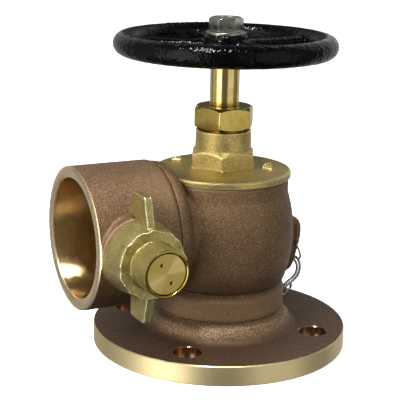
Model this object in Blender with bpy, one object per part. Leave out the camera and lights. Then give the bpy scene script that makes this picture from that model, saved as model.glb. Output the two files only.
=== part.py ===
"""Flanged right-angle hydrant valve with a female hose outlet, as separate solids.

Sizes are in metres. The valve's own axes have the spindle along Z at x = y = 0, the underside
of the flange at z = 0, the outlet along -X and the pull lug on the outlet's side at -Y.
PLACE then puts the bounding box's bottom centre at the world origin.
"""

from math import cos, pi, radians, sin, sqrt, tan

import bmesh
import bpy
from mathutils import Matrix, Vector

MM = 0.001
GAP = 0.3 * MM  # clearance between pieces that touch or screw together

# Flange: 2 1/2 inch, BS 10 table D
FLANGE_R = 82.5 * MM
FLANGE_THICK = 12.8 * MM
BOLT_CIRCLE_R = 63.5 * MM
BOLT_HOLE_R = 8.75 * MM
BOLT_COUNT = 4

FLANGE_EDGE = 0.7 * MM

# Body casting
BORE_R = 31.75 * MM
SEAT_THROAT_R = 29.5 * MM
SEAT_RING_R = 33.0 * MM
SEAT_Z = 50.0 * MM
SEAT_RING_UNDER_Z = 47.0 * MM
THROAT_UNDER_Z = 43.0 * MM
BORE_TOP_Z = 38.0 * MM
CAVITY_FLOOR_Z = 52.0 * MM
CAVITY_TOP_Z = 95.0 * MM
BONNET_BORE_UNDER_Z = 99.0 * MM
COLLAR_R = 41.8 * MM
COLLAR_TOP_Z = 37.9 * MM
COLLAR_UNDER_Z = 25.4 * MM
BARREL_R = 46.8 * MM
BARREL_MID_Z = 74.0 * MM
BARREL_FOOT_Z = 43.6 * MM
BARREL_ARC_R = 88.0 * MM
BODY_TOP_R = 42.4 * MM
BODY_TOP_Z = 109.6 * MM
CAVITY_R = 39.5 * MM
BONNET_BORE_R = 36.6 * MM

# Outlet
OUTLET_Z = 79.6 * MM
OUTLET_MOUTH_X = -102.0 * MM
OUTLET_REAR_X = -48.3 * MM
OUTLET_R = 44.4 * MM
OUTLET_BORE_R = 37.2 * MM
NECK_R = 43.3 * MM
NECK_ROOT_R = 34.0 * MM
NECK_ROOT_X = -20.0 * MM
NECK_SHOULDER_R = 8.0 * MM
NECK_SHOULDER_X = -46.0 * MM
SPIGOT_R = 38.6 * MM
SPIGOT_END_X = -60.0 * MM
SPIGOT_BORE_R = 29.0 * MM
OUTLET_STEP_X = -62.0 * MM
OUTLET_STEP_R = 34.0 * MM
SEAL_BACK_X = -65.0 * MM
SEAL_FRONT_X = -71.5 * MM
SEAL_GROOVE_R = 40.2 * MM
SEAL_LIP_R = 34.6 * MM
SEAL_HEEL_R = 36.2 * MM

# Bonnet, gland and spindle
BONNET_R = 43.7 * MM
BONNET_THICK = 4.5 * MM
BONNET_UNDER_Z = BODY_TOP_Z + 1.5 * MM
BONNET_TOP_Z = BONNET_UNDER_Z + BONNET_THICK
BONNET_SPIGOT_Z = 100.3 * MM
BONNET_HEX_AF = 38.4 * MM
BONNET_HEX_TOP_Z = 128.6 * MM
BONNET_NECK_R = 17.8 * MM
BONNET_NECK_TOP_Z = 140.9 * MM
BONNET_CROWN = 1.4 * MM
STUFFING_R = 13.7 * MM
STUFFING_Z = 120.0 * MM
SPINDLE_R = 9.3 * MM
SPINDLE_THREAD_R = 9.0 * MM
SPINDLE_THREAD_END_Z = 80.5 * MM
SPINDLE_NECK_R = 5.5 * MM
SPINDLE_TOP_Z = 210.9 * MM
SQUARE_TOP_Z = 198.6 * MM
GLAND_AF = 35.0 * MM
GLAND_UNDER_Z = 141.8 * MM
GLAND_TOP_Z = 156.0 * MM
GLAND_SPIGOT_END_Z = 134.2 * MM
FOLLOWER_UNDER_Z = 130.4 * MM
FOLLOWER_TOP_Z = 133.9 * MM
PACKING_THICK = 3.1 * MM

# Clack
CLACK_R = 35.0 * MM
CLACK_HUB_R = 14.5 * MM
CLACK_TOP_Z = 79.0 * MM
CLACK_UNDER_Z = 55.6 * MM
CLACK_RIM_TOP_Z = 61.5 * MM
CLACK_SHOULDER_Z = 62.5 * MM
CLACK_SOCKET_R = 12.3 * MM
CLACK_SOCKET_Z = 70.9 * MM
CLACK_STUD_END_Z = 41.4 * MM
SEAT_WASHER_TOP_Z = 55.3 * MM
WASHER_PLATE_R = 26.5 * MM
WASHER_PLATE_UNDER_Z = 47.3 * MM
CLACK_NUT_AF = 17.0 * MM
CLACK_NUT_UNDER_Z = 42.4 * MM
CLACK_NUT_TOP_Z = 47.0 * MM
BUTTON_R = 8.5 * MM
BUTTON_Z = 64.4 * MM
CLACK_STUD_R = 4.9 * MM

# Handwheel
WHEEL_Z = 194.4 * MM
WHEEL_RIM_R = 63.5 * MM
WHEEL_SECTION_R = 6.9 * MM
WHEEL_HUB_R = 13.5 * MM
WHEEL_HUB_UNDER_Z = 184.2 * MM
WHEEL_HUB_TOP_Z = 200.3 * MM
WHEEL_SPOKES = 5
WHEEL_SPOKE_TURN = radians(148.0)
SPOKE_Z = WHEEL_Z - 1.0 * MM
SPOKE_STATIONS = [  # reach from the axis, half width, half height
    (9.0 * MM, 7.4 * MM, 4.2 * MM),
    (18.0 * MM, 6.0 * MM, 3.8 * MM),
    (36.0 * MM, 4.9 * MM, 3.5 * MM),
    (50.0 * MM, 5.4 * MM, 3.7 * MM),
    (61.0 * MM, 7.2 * MM, 4.4 * MM),
]
SQUARE_SIDE = 12.6 * MM
WASHER_R = 12.7 * MM
WASHER_THICK = 1.6 * MM
WHEEL_NUT_AF = 18.9 * MM
WHEEL_NUT_TURN = radians(36.5)
WHEEL_NUT_HEIGHT = 8.8 * MM
WHEEL_STUD_R = 6.0 * MM

# Pull lug: s is the distance outwards from the outlet's axis
LUG_X = -79.2 * MM
BOSS_R = 22.4 * MM
BOSS_FACE_S = 47.0 * MM
BELL_BACK_S = 48.4 * MM
BELL_BACK_R = 22.8 * MM
BELL_FRONT_S = 68.4 * MM
BELL_FRONT_R = 20.4 * MM
KNOB_R = 14.1 * MM
KNOB_END_S = 87.0 * MM
WING_REACH = 38.0 * MM
WING_THICK = 4.8 * MM
WING_BACK_S = 41.0 * MM
WING_EASE = 2.4 * MM
NOSE_R = 6.0 * MM
NOSE_END_S = 30.0 * MM
STEM_R = 4.0 * MM
STEM_END_S = 81.6 * MM
STEM_NUT_AF = 13.0 * MM
STEM_NUT_LOW_S = 76.3 * MM
STEM_NUT_TOP_S = 81.0 * MM
SPRING_COIL_R = 7.2 * MM
SPRING_WIRE_R = 0.9 * MM
SPRING_TURNS = 5
SOCKET_R = 13.0 * MM
SOCKET_FLOOR_S = 41.4 * MM
HOUSING_R = SOCKET_R - GAP
HOUSING_BORE_R = 10.2 * MM
HOUSING_END_S = 66.6 * MM
COLLAR_TOP_S = 45.6 * MM
SPRING_STOP_S = 63.4 * MM
KNOB_RECESS_R = 12.4 * MM
KNOB_RECESS_DEPTH = 5.2 * MM
KNOB_FLOOR_S = 76.0 * MM
BELL_BORE_R = 14.2 * MM
BELL_MOUTH_R = 16.5 * MM
CAP_SINK = 0.9 * MM
CAP_THICK = 4.0 * MM
PIN_HOLE_R = 0.9 * MM
PIN_HOLE_REACH = 6.2 * MM
PIN_HOLE_TURN = radians(61.0)

# Chain and its ear
EAR_THICK = 5.6 * MM
SLOT_CENTRE = (55.0 * MM, 65.3 * MM)
SLOT_WIDTH = 2.8 * MM
SLOT_HEIGHT = 16.3 * MM
WIRE_R = 0.65 * MM

# Facets round a turned solid
FACETS_LARGE = 36
FACETS_CAVITY = 32
FACETS_MEDIUM = 24
FACETS_SMALL = 16
FACETS_PIN = 12

# The box runs from the outlet's mouth to the flange's edge, and from the knob's end to it
PLACE = Vector((-(OUTLET_MOUTH_X + FLANGE_R) / 2, (KNOB_END_S - FLANGE_R) / 2, 0))

COLOURS = {
    "cast_gunmetal": ((0.24, 0.15, 0.10), 0.55, 0.7),
    "cast_brass": ((0.46, 0.40, 0.20), 0.42, 0.9),
    "turned_brass": ((0.66, 0.52, 0.22), 0.22, 1.0),
    "black_iron": ((0.015, 0.015, 0.018), 0.28, 0.0),
    "steel": ((0.48, 0.47, 0.44), 0.35, 1.0),
    "rubber": ((0.03, 0.03, 0.03), 0.8, 0.0),
    "fibre": ((0.30, 0.20, 0.12), 0.85, 0.0),
}


def clear_scene():
    for obj in list(bpy.data.objects):
        bpy.data.objects.remove(obj, do_unlink=True)


def material(kind):
    """The one material of this kind, made the first time it is asked for."""
    found = bpy.data.materials.get(kind)
    if found:
        return found
    colour, roughness, metallic = COLOURS[kind]
    made = bpy.data.materials.new(kind)
    made.use_nodes = True
    shader = made.node_tree.nodes["Principled BSDF"]
    shader.inputs["Base Color"].default_value = (*colour, 1)
    shader.inputs["Roughness"].default_value = roughness
    shader.inputs["Metallic"].default_value = metallic
    return made


def object_of(name, bm, kind, matrix=None):
    """An object from a bmesh, turned by matrix in the valve's axes, and placed."""
    if matrix:
        bm.transform(matrix)
    bmesh.ops.recalc_face_normals(bm, faces=bm.faces)
    mesh = bpy.data.meshes.new(name)
    bm.to_mesh(mesh)
    bm.free()
    mesh.materials.append(material(kind))
    mesh.shade_smooth()
    mesh.set_sharp_from_angle(angle=radians(35))
    obj = bpy.data.objects.new(name, mesh)
    obj.location = PLACE
    bpy.context.scene.collection.objects.link(obj)
    return obj


def arc(centre, radius, start, end, steps):
    """Points of a round stretch; the angles are in degrees, from the first axis."""
    points = []
    for i in range(steps + 1):
        angle = radians(start + (end - start) * i / steps)
        points.append((centre[0] + radius * cos(angle), centre[1] + radius * sin(angle)))
    return points


def turned_mesh(outline, segments):
    """A solid turned about Z from an outline of (radius, height) points.

    An outline that starts and ends on the axis is solid, any other one is a closed ring.
    """
    bm = bmesh.new()
    verts = [bm.verts.new((radius, 0, height)) for radius, height in outline]
    solid = outline[0][0] == 0 and outline[-1][0] == 0
    edges = [bm.edges.new(pair) for pair in zip(verts, verts[1:])]
    if not solid:
        edges.append(bm.edges.new((verts[-1], verts[0])))
    bmesh.ops.spin(
        bm,
        geom=verts + edges,
        cent=(0, 0, 0),
        axis=(0, 0, 1),
        angle=2 * pi,
        steps=segments,
        use_duplicate=False,
    )
    bmesh.ops.remove_doubles(bm, verts=bm.verts, dist=1e-6)
    return bm


def prism_mesh(outline, low, high):
    """A straight prism from an outline in XY, from z = low to z = high."""
    bm = bmesh.new()
    face = bm.faces.new([bm.verts.new((x, y, low)) for x, y in outline])
    pushed = bmesh.ops.extrude_face_region(bm, geom=[face])
    moved = [item for item in pushed["geom"] if isinstance(item, bmesh.types.BMVert)]
    bmesh.ops.translate(bm, verts=moved, vec=(0, 0, high - low))
    return bm


def hexagon(across_flats, turn):
    """The corners of a hexagon with its first corner at the angle turn."""
    corner = across_flats / sqrt(3)
    return [(corner * cos(turn + k * pi / 3), corner * sin(turn + k * pi / 3)) for k in range(6)]


def boolean(obj, other, operation):
    """Cuts, joins or intersects with another object, which is only a helper."""
    other.hide_render = True
    other.display_type = "WIRE"
    modifier = obj.modifiers.new(operation.title(), "BOOLEAN")
    modifier.object = other
    modifier.operation = operation
    modifier.solver = "EXACT"
    return obj


def cylinder(name, radius, low, high, matrix=None, segments=FACETS_MEDIUM):
    """A plain round helper along Z, then turned by matrix."""
    outline = [(0, high), (radius, high), (radius, low), (0, low)]
    return object_of(name, turned_mesh(outline, segments), "steel", matrix)


# Turning a solid from Z to the outlet's axis: its height becomes x.
ALONG_OUTLET = Matrix.Translation((0, 0, OUTLET_Z)) @ Matrix.Rotation(pi / 2, 4, "Y")


# Turning a solid from Z to the pull lug's axis: its height becomes s, outwards along -Y.
ALONG_LUG = Matrix.Translation((LUG_X, 0, OUTLET_Z)) @ Matrix.Rotation(pi / 2, 4, "X")


def body_outline():
    """The outer surface of flange, hub, collar and barrel, from the top down."""
    dip = BARREL_ARC_R - BARREL_R
    top = BARREL_MID_Z + sqrt(BARREL_ARC_R**2 - (BODY_TOP_R + dip) ** 2)
    start = degrees_of((top - BARREL_MID_Z) / BARREL_ARC_R)
    end = degrees_of((BARREL_FOOT_Z - BARREL_MID_Z) / BARREL_ARC_R)
    edge = 0.6 * MM
    outline = [(0, BODY_TOP_Z), (BODY_TOP_R - edge, BODY_TOP_Z), (BODY_TOP_R, BODY_TOP_Z - edge)]
    outline += arc((-dip, BARREL_MID_Z), BARREL_ARC_R, start, end, 8)
    outline += [
        (COLLAR_R - 1.6 * MM, COLLAR_TOP_Z + 5.0 * MM),
        (COLLAR_R - 1.0 * MM, COLLAR_TOP_Z + 2.7 * MM),
        (COLLAR_R, COLLAR_TOP_Z),
        (COLLAR_R, COLLAR_UNDER_Z),
        (COLLAR_R - 1.8 * MM, COLLAR_UNDER_Z - 1.2 * MM),
        (COLLAR_R - 0.9 * MM, COLLAR_UNDER_Z - 2.3 * MM),
        (COLLAR_R + 1.8 * MM, FLANGE_THICK + 9.0 * MM),
        (COLLAR_R + 4.0 * MM, FLANGE_THICK + 6.2 * MM),
        (COLLAR_R + 5.2 * MM, FLANGE_THICK + 3.2 * MM),
        (COLLAR_R + 6.6 * MM, FLANGE_THICK + 1.0 * MM),
        (COLLAR_R + 8.6 * MM, FLANGE_THICK),
        (FLANGE_R - FLANGE_EDGE, FLANGE_THICK),
        (FLANGE_R, FLANGE_THICK - FLANGE_EDGE),
        (FLANGE_R, FLANGE_EDGE),
        (FLANGE_R - FLANGE_EDGE, 0),
        (0, 0),
    ]
    return outline


def degrees_of(sine):
    """The angle in degrees whose sine is given."""
    return Vector((sqrt(1 - sine * sine), sine)).angle_signed(Vector((1, 0))) * 180 / pi


def body_cavity():
    """The inside: inlet bore, seat throat and ring, chamber and bonnet thread, top down."""
    beyond = 5 * MM
    return [
        (0, BODY_TOP_Z + beyond),
        (BONNET_BORE_R, BODY_TOP_Z + beyond),
        (BONNET_BORE_R, BONNET_BORE_UNDER_Z),
        (CAVITY_R, CAVITY_TOP_Z),
        (CAVITY_R, CAVITY_FLOOR_Z),
        (SEAT_RING_R + 2.0 * MM, SEAT_RING_UNDER_Z),
        (SEAT_RING_R, SEAT_RING_UNDER_Z),
        (SEAT_RING_R, SEAT_Z),
        (SEAT_THROAT_R, SEAT_Z),
        (SEAT_THROAT_R, THROAT_UNDER_Z),
        (BORE_R, BORE_TOP_Z),
        (BORE_R, -beyond),
        (0, -beyond),
    ]


def neck_outline():
    """The outlet's neck and threaded spigot, from the barrel outwards (height is x)."""
    centre = (NECK_R - NECK_SHOULDER_R, NECK_SHOULDER_X)
    shoulder_top = NECK_SHOULDER_X + NECK_SHOULDER_R
    outline = [(0, NECK_ROOT_X), (NECK_ROOT_R, NECK_ROOT_X), (NECK_ROOT_R, shoulder_top)]
    outline += arc(centre, NECK_SHOULDER_R, 80, 0, 5)
    outline += [
        (NECK_R, OUTLET_REAR_X + GAP),
        (SPIGOT_R, OUTLET_REAR_X + GAP),
        (SPIGOT_R, SPIGOT_END_X + 1 * MM),
        (SPIGOT_R - 1 * MM, SPIGOT_END_X),
        (0, SPIGOT_END_X),
    ]
    return outline


def ear_outline():
    """The chain ear's side view in (x, z), with its foot inside the barrel."""
    return [
        (40.0 * MM, 80.5 * MM),
        (46.5 * MM, 80.2 * MM),
        (52.6 * MM, 78.8 * MM),
        (57.0 * MM, 76.2 * MM),
        (59.1 * MM, 73.0 * MM),
        (59.8 * MM, 69.0 * MM),
        (59.6 * MM, 64.5 * MM),
        (58.6 * MM, 59.3 * MM),
        (56.6 * MM, 52.0 * MM),
        (54.4 * MM, 45.0 * MM),
        (52.4 * MM, 42.0 * MM),
        (48.6 * MM, 39.8 * MM),
        (38.0 * MM, 38.6 * MM),
    ]


def slot_outline():
    """A slot with round ends, in (x, z)."""
    x, z = SLOT_CENTRE
    radius = SLOT_WIDTH / 2
    rise = SLOT_HEIGHT / 2 - radius
    return arc((x, z + rise), radius, 0, 180, 6) + arc((x, z - rise), radius, 180, 360, 6)


def upright_plate(outline, thick):
    """A plate in the XZ plane, centred on y = 0."""
    bm = prism_mesh(outline, -thick / 2, thick / 2)
    bm.transform(Matrix.Rotation(pi / 2, 4, "X"))
    return bm


def make_body():
    body = object_of("valve_body", turned_mesh(body_outline(), FACETS_LARGE), "cast_gunmetal")
    neck = object_of("neck_form", turned_mesh(neck_outline(), FACETS_LARGE), "steel", ALONG_OUTLET)
    boolean(body, neck, "UNION")
    reach = BONNET_R + 1.2 * MM
    low = BODY_TOP_Z + 0.1 * MM
    clearance = cylinder("bonnet_clearance", reach, low, 2 * BODY_TOP_Z, None, FACETS_LARGE)
    boolean(body, clearance, "DIFFERENCE")
    ear = object_of("ear_form", upright_plate(ear_outline(), EAR_THICK), "steel")
    boolean(body, ear, "UNION")
    slot = object_of("slot_cutter", upright_plate(slot_outline(), 3 * EAR_THICK), "steel")
    boolean(body, slot, "DIFFERENCE")
    cavity = object_of("cavity_cutter", turned_mesh(body_cavity(), FACETS_CAVITY), "steel")
    boolean(body, cavity, "DIFFERENCE")
    ends = (1.2 * SPIGOT_END_X, NECK_ROOT_X / 2)
    bore = cylinder("spigot_cutter", SPIGOT_BORE_R, *ends, ALONG_OUTLET, FACETS_LARGE)
    boolean(body, bore, "DIFFERENCE")
    for k in range(BOLT_COUNT):
        angle = pi / 4 + k * 2 * pi / BOLT_COUNT
        shift = Matrix.Translation((BOLT_CIRCLE_R * cos(angle), BOLT_CIRCLE_R * sin(angle), 0))
        ends = (-0.5 * FLANGE_THICK, 1.5 * FLANGE_THICK)
        hole = cylinder(f"hole_cutter_{k}", BOLT_HOLE_R, *ends, shift, FACETS_SMALL)
        boolean(body, hole, "DIFFERENCE")


def make_bonnet():
    hex_under = BONNET_TOP_Z + BONNET_CROWN
    corner = BONNET_HEX_AF / sqrt(3)
    outline = [
        (0, BONNET_NECK_TOP_Z),
        (BONNET_NECK_R - 1.0 * MM, BONNET_NECK_TOP_Z),
        (BONNET_NECK_R - 0.4 * MM, BONNET_NECK_TOP_Z - 0.8 * MM),
        (BONNET_NECK_R, BONNET_HEX_TOP_Z),
        (BONNET_NECK_R, hex_under),
        (corner, hex_under),
        (BONNET_R - 0.6 * MM, BONNET_TOP_Z),
        (BONNET_R, BONNET_TOP_Z - 0.6 * MM),
        (BONNET_R, BONNET_UNDER_Z + 0.5 * MM),
        (BONNET_R - 0.5 * MM, BONNET_UNDER_Z),
        (BONNET_BORE_R - GAP, BONNET_UNDER_Z),
        (BONNET_BORE_R - GAP, BONNET_SPIGOT_Z + 1 * MM),
        (BONNET_BORE_R - 1.3 * MM, BONNET_SPIGOT_Z),
        (0, BONNET_SPIGOT_Z),
    ]
    bonnet = object_of("bonnet", turned_mesh(outline, FACETS_LARGE), "cast_brass")
    hexed = prism_mesh(hexagon(BONNET_HEX_AF, radians(1)), hex_under - 1 * MM, BONNET_HEX_TOP_Z)
    hexed = object_of("bonnet_hex_form", hexed, "steel")
    cone = [
        (0, BONNET_HEX_TOP_Z + 1 * MM),
        (BONNET_NECK_R - 1 * MM, BONNET_HEX_TOP_Z + 1 * MM),
        (corner + 1.5 * MM, BONNET_HEX_TOP_Z - 4.0 * MM),
        (corner + 1.5 * MM, hex_under - 2 * MM),
        (0, hex_under - 2 * MM),
    ]
    boolean(hexed, object_of("bonnet_cone_form", turned_mesh(cone, FACETS_MEDIUM), "steel"), "INTERSECT")
    boolean(bonnet, hexed, "UNION")
    beyond = 5 * MM
    core = [
        (0, BONNET_NECK_TOP_Z + beyond),
        (STUFFING_R, BONNET_NECK_TOP_Z + beyond),
        (STUFFING_R, STUFFING_Z),
        (SPINDLE_THREAD_R + GAP, STUFFING_Z),
        (SPINDLE_THREAD_R + GAP, BONNET_SPIGOT_Z - beyond),
        (0, BONNET_SPIGOT_Z - beyond),
    ]
    boolean(bonnet, object_of("bonnet_core", turned_mesh(core, FACETS_MEDIUM), "steel"), "DIFFERENCE")


def ring(name, inner, outer, low, high, kind, segments=FACETS_MEDIUM, matrix=None):
    """A plain flat ring."""
    outline = [(inner, high), (outer, high), (outer, low), (inner, low)]
    return object_of(name, turned_mesh(outline, segments), kind, matrix)


def nut(name, across_flats, turn, inner, low, high, kind, spigot=None):
    """A hexagon nut chamfered on top, with an optional round spigot (radius, end) below."""
    body = object_of(name, prism_mesh(hexagon(across_flats, turn), low, high), kind)
    corner = across_flats / sqrt(3)
    slope = tan(radians(30))
    flat_r = across_flats / 2 * 0.96
    reach = corner + 2 * MM
    cone = [
        (0, high),
        (flat_r, high),
        (reach, high - (reach - flat_r) * slope),
        (reach, low - 1 * MM),
        (0, low - 1 * MM),
    ]
    boolean(body, object_of(name + "_cone", turned_mesh(cone, FACETS_MEDIUM), "steel"), "INTERSECT")
    if spigot:
        boolean(body, cylinder(name + "_spigot", spigot[0], spigot[1], low + 1 * MM), "UNION")
    hole = cylinder(name + "_hole", inner, low - 20 * MM, high + 5 * MM)
    boolean(body, hole, "DIFFERENCE")
    return body


def make_gland():
    inner = SPINDLE_R + GAP
    outer = STUFFING_R - GAP
    nut(
        "gland_nut", GLAND_AF, radians(-4.5), inner, GLAND_UNDER_Z, GLAND_TOP_Z,
        "turned_brass", (outer, GLAND_SPIGOT_END_Z),
    )
    ring("gland_follower", inner, outer, FOLLOWER_UNDER_Z, FOLLOWER_TOP_Z, "turned_brass")
    for k in range(3):
        low = STUFFING_Z + GAP + k * (PACKING_THICK + GAP)
        ring(f"gland_packing_{k + 1}", inner, outer, low, low + PACKING_THICK, "fibre")


def make_spindle():
    neck_low = BUTTON_Z + 5.6 * MM
    shoulder = WHEEL_HUB_UNDER_Z - GAP
    outline = [
        (0, SPINDLE_TOP_Z),
        (WHEEL_STUD_R - 0.8 * MM, SPINDLE_TOP_Z),
        (WHEEL_STUD_R, SPINDLE_TOP_Z - 0.8 * MM),
        (WHEEL_STUD_R, SQUARE_TOP_Z),
        (WHEEL_STUD_R, shoulder),
        (SPINDLE_R - 0.6 * MM, shoulder),
        (SPINDLE_R, shoulder - 0.6 * MM),
        (SPINDLE_R, STUFFING_Z + 0.6 * MM),
        (SPINDLE_THREAD_R, STUFFING_Z + GAP),
        (SPINDLE_THREAD_R, SPINDLE_THREAD_END_Z + 1.0 * MM),
        (SPINDLE_THREAD_R - 1.0 * MM, SPINDLE_THREAD_END_Z),
        (SPINDLE_NECK_R, SPINDLE_THREAD_END_Z),
        (SPINDLE_NECK_R, neck_low),
        (BUTTON_R, neck_low),
        (BUTTON_R, BUTTON_Z + 0.8 * MM),
        (BUTTON_R - 0.8 * MM, BUTTON_Z),
        (0, BUTTON_Z),
    ]
    spindle = object_of("spindle", turned_mesh(outline, FACETS_MEDIUM), "turned_brass")
    half = SQUARE_SIDE / 2
    corners = [(half, half), (-half, half), (-half, -half), (half, -half)]
    square = prism_mesh(corners, WHEEL_HUB_UNDER_Z - 1 * MM, SQUARE_TOP_Z)
    boolean(spindle, object_of("spindle_square", square, "steel"), "UNION")


def make_clack():
    edge = 0.8 * MM
    fillet = 3.5 * MM
    holder = [
        (0, BUTTON_Z - 4 * GAP),
        (BUTTON_R + GAP, BUTTON_Z - 0.5 * MM),
        (BUTTON_R + GAP, CLACK_SOCKET_Z),
        (CLACK_SOCKET_R, CLACK_SOCKET_Z),
        (CLACK_SOCKET_R, CLACK_TOP_Z),
        (CLACK_HUB_R, CLACK_TOP_Z),
        (CLACK_HUB_R, CLACK_SHOULDER_Z + fillet),
        (CLACK_HUB_R + fillet, CLACK_SHOULDER_Z),
        (CLACK_R - edge, CLACK_RIM_TOP_Z),
        (CLACK_R, CLACK_RIM_TOP_Z - edge),
        (CLACK_R, CLACK_UNDER_Z),
        (CLACK_STUD_R, CLACK_UNDER_Z),
        (CLACK_STUD_R, CLACK_STUD_END_Z + edge),
        (CLACK_STUD_R - edge, CLACK_STUD_END_Z),
        (0, CLACK_STUD_END_Z),
    ]
    object_of("clack_holder", turned_mesh(holder, FACETS_LARGE), "turned_brass")
    inner = CLACK_STUD_R + GAP
    washer_r = CLACK_R - 0.4 * MM
    ring("seat_washer", inner, washer_r, SEAT_Z + GAP, SEAT_WASHER_TOP_Z, "rubber", FACETS_LARGE)
    ring("washer_plate", inner, WASHER_PLATE_R, WASHER_PLATE_UNDER_Z, SEAT_Z, "turned_brass")
    nut("clack_nut", CLACK_NUT_AF, 0, inner, CLACK_NUT_UNDER_Z, CLACK_NUT_TOP_Z, "turned_brass")
    ring(
        "spindle_retaining_ring", SPINDLE_NECK_R + GAP, CLACK_SOCKET_R - GAP,
        CLACK_SOCKET_Z + GAP, CLACK_TOP_Z - 0.4 * MM, "turned_brass",
    )


def spoke_mesh(angle):
    """One spoke: an oval bar from inside the hub to inside the rim, a little waisted."""
    bm = bmesh.new()
    rings = []
    sides = 8
    for reach, half_width, half_height in SPOKE_STATIONS:
        loop = []
        for k in range(sides):
            turn = 2 * pi * k / sides
            y = half_width * cos(turn)
            z = half_height * sin(turn)
            loop.append(bm.verts.new((reach, y, SPOKE_Z + z)))
        rings.append(loop)
    for low, high in zip(rings, rings[1:]):
        for k in range(sides):
            j = (k + 1) % sides
            bm.faces.new((low[k], low[j], high[j], high[k]))
    bm.faces.new(rings[0])
    bm.faces.new(rings[-1])
    bm.transform(Matrix.Rotation(angle, 4, "Z"))
    return bm


def make_handwheel():
    rim = arc((WHEEL_RIM_R, WHEEL_Z), WHEEL_SECTION_R, 0, 360, 12)[:-1]
    wheel = object_of("handwheel", turned_mesh(rim, FACETS_LARGE), "black_iron")
    hub = [
        (0, WHEEL_HUB_TOP_Z),
        (WHEEL_HUB_R - 1 * MM, WHEEL_HUB_TOP_Z),
        (WHEEL_HUB_R, WHEEL_HUB_TOP_Z - 1 * MM),
        (WHEEL_HUB_R + 0.6 * MM, WHEEL_Z),
        (WHEEL_HUB_R - 0.6 * MM, WHEEL_HUB_UNDER_Z + 1 * MM),
        (WHEEL_HUB_R - 1.6 * MM, WHEEL_HUB_UNDER_Z),
        (0, WHEEL_HUB_UNDER_Z),
    ]
    hub = object_of("hub_form", turned_mesh(hub, FACETS_SMALL), "steel")
    for k in range(WHEEL_SPOKES):
        spoke = spoke_mesh(WHEEL_SPOKE_TURN + k * 2 * pi / WHEEL_SPOKES)
        boolean(hub, object_of(f"spoke_form_{k}", spoke, "steel"), "UNION")
    boolean(wheel, hub, "UNION")
    half = SQUARE_SIDE / 2 + GAP
    corners = [(half, half), (-half, half), (-half, -half), (half, -half)]
    square = prism_mesh(corners, WHEEL_HUB_UNDER_Z - 5 * MM, WHEEL_HUB_TOP_Z + 5 * MM)
    boolean(wheel, object_of("square_cutter", square, "steel"), "DIFFERENCE")
    washer_low = WHEEL_HUB_TOP_Z + GAP
    washer_top = washer_low + WASHER_THICK
    inner = WHEEL_STUD_R + GAP
    ring("wheel_washer", inner, WASHER_R, washer_low, washer_top, "steel")
    ends = (washer_top + GAP, washer_top + GAP + WHEEL_NUT_HEIGHT)
    nut("wheel_nut", WHEEL_NUT_AF, WHEEL_NUT_TURN, inner, *ends, "steel")


def outlet_cavity():
    """The inside of the outlet as a solid: mouth, bore, seal groove and thread, rear first."""
    beyond = 5 * MM
    return [
        (0, OUTLET_REAR_X + beyond),
        (SPIGOT_R + GAP, OUTLET_REAR_X + beyond),
        (SPIGOT_R + GAP, OUTLET_STEP_X),
        (OUTLET_STEP_R, OUTLET_STEP_X),
        (OUTLET_STEP_R, SEAL_BACK_X),
        (SEAL_GROOVE_R, SEAL_BACK_X),
        (SEAL_GROOVE_R, SEAL_FRONT_X),
        (OUTLET_BORE_R, SEAL_FRONT_X),
        (OUTLET_BORE_R, OUTLET_MOUTH_X + 0.8 * MM),
        (OUTLET_BORE_R + 0.8 * MM + beyond, OUTLET_MOUTH_X - beyond),
        (0, OUTLET_MOUTH_X - beyond),
    ]


def make_outlet():
    ease = 3 * MM
    outline = [(0, OUTLET_REAR_X)]
    outline += arc((OUTLET_R - ease, OUTLET_REAR_X - ease), ease, 90, 0, 3)
    outline += [
        (OUTLET_R, OUTLET_MOUTH_X + 0.6 * MM),
        (OUTLET_R - 0.6 * MM, OUTLET_MOUTH_X),
        (0, OUTLET_MOUTH_X),
    ]
    outlet = turned_mesh(outline, FACETS_LARGE)
    outlet = object_of("hose_outlet", outlet, "cast_gunmetal", ALONG_OUTLET)
    boss = cylinder("boss_form", BOSS_R, NOSE_END_S, BOSS_FACE_S, ALONG_LUG, FACETS_MEDIUM)
    boolean(outlet, boss, "UNION")
    cavity = turned_mesh(outlet_cavity(), FACETS_LARGE)
    boolean(outlet, object_of("outlet_cutter", cavity, "steel", ALONG_OUTLET), "DIFFERENCE")
    beyond = 5 * MM
    socket = [
        (0, BOSS_FACE_S + beyond),
        (SOCKET_R, BOSS_FACE_S + beyond),
        (SOCKET_R, SOCKET_FLOOR_S),
        (NOSE_R + GAP, SOCKET_FLOOR_S),
        (NOSE_R + GAP, NOSE_END_S),
        (0, NOSE_END_S),
    ]
    socket = object_of("socket_cutter", turned_mesh(socket, FACETS_SMALL), "steel", ALONG_LUG)
    boolean(outlet, socket, "DIFFERENCE")
    ring(
        "outlet_gasket", SPIGOT_BORE_R + 1 * MM, SPIGOT_R - 1 * MM,
        OUTLET_STEP_X + GAP, SPIGOT_END_X - GAP, "fibre", FACETS_LARGE, ALONG_OUTLET,
    )
    seal = [
        (SEAL_GROOVE_R - GAP, SEAL_BACK_X - GAP),
        (SEAL_GROOVE_R - GAP, SEAL_FRONT_X + GAP),
        (SEAL_LIP_R + 0.6 * MM, SEAL_FRONT_X + GAP),
        (SEAL_LIP_R, SEAL_FRONT_X + 1.5 * MM),
        (SEAL_HEEL_R, SEAL_BACK_X - 1.8 * MM),
        (SEAL_LIP_R + 0.6 * MM, SEAL_BACK_X - GAP),
    ]
    object_of("outlet_seal", turned_mesh(seal, FACETS_LARGE), "rubber", ALONG_OUTLET)


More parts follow.
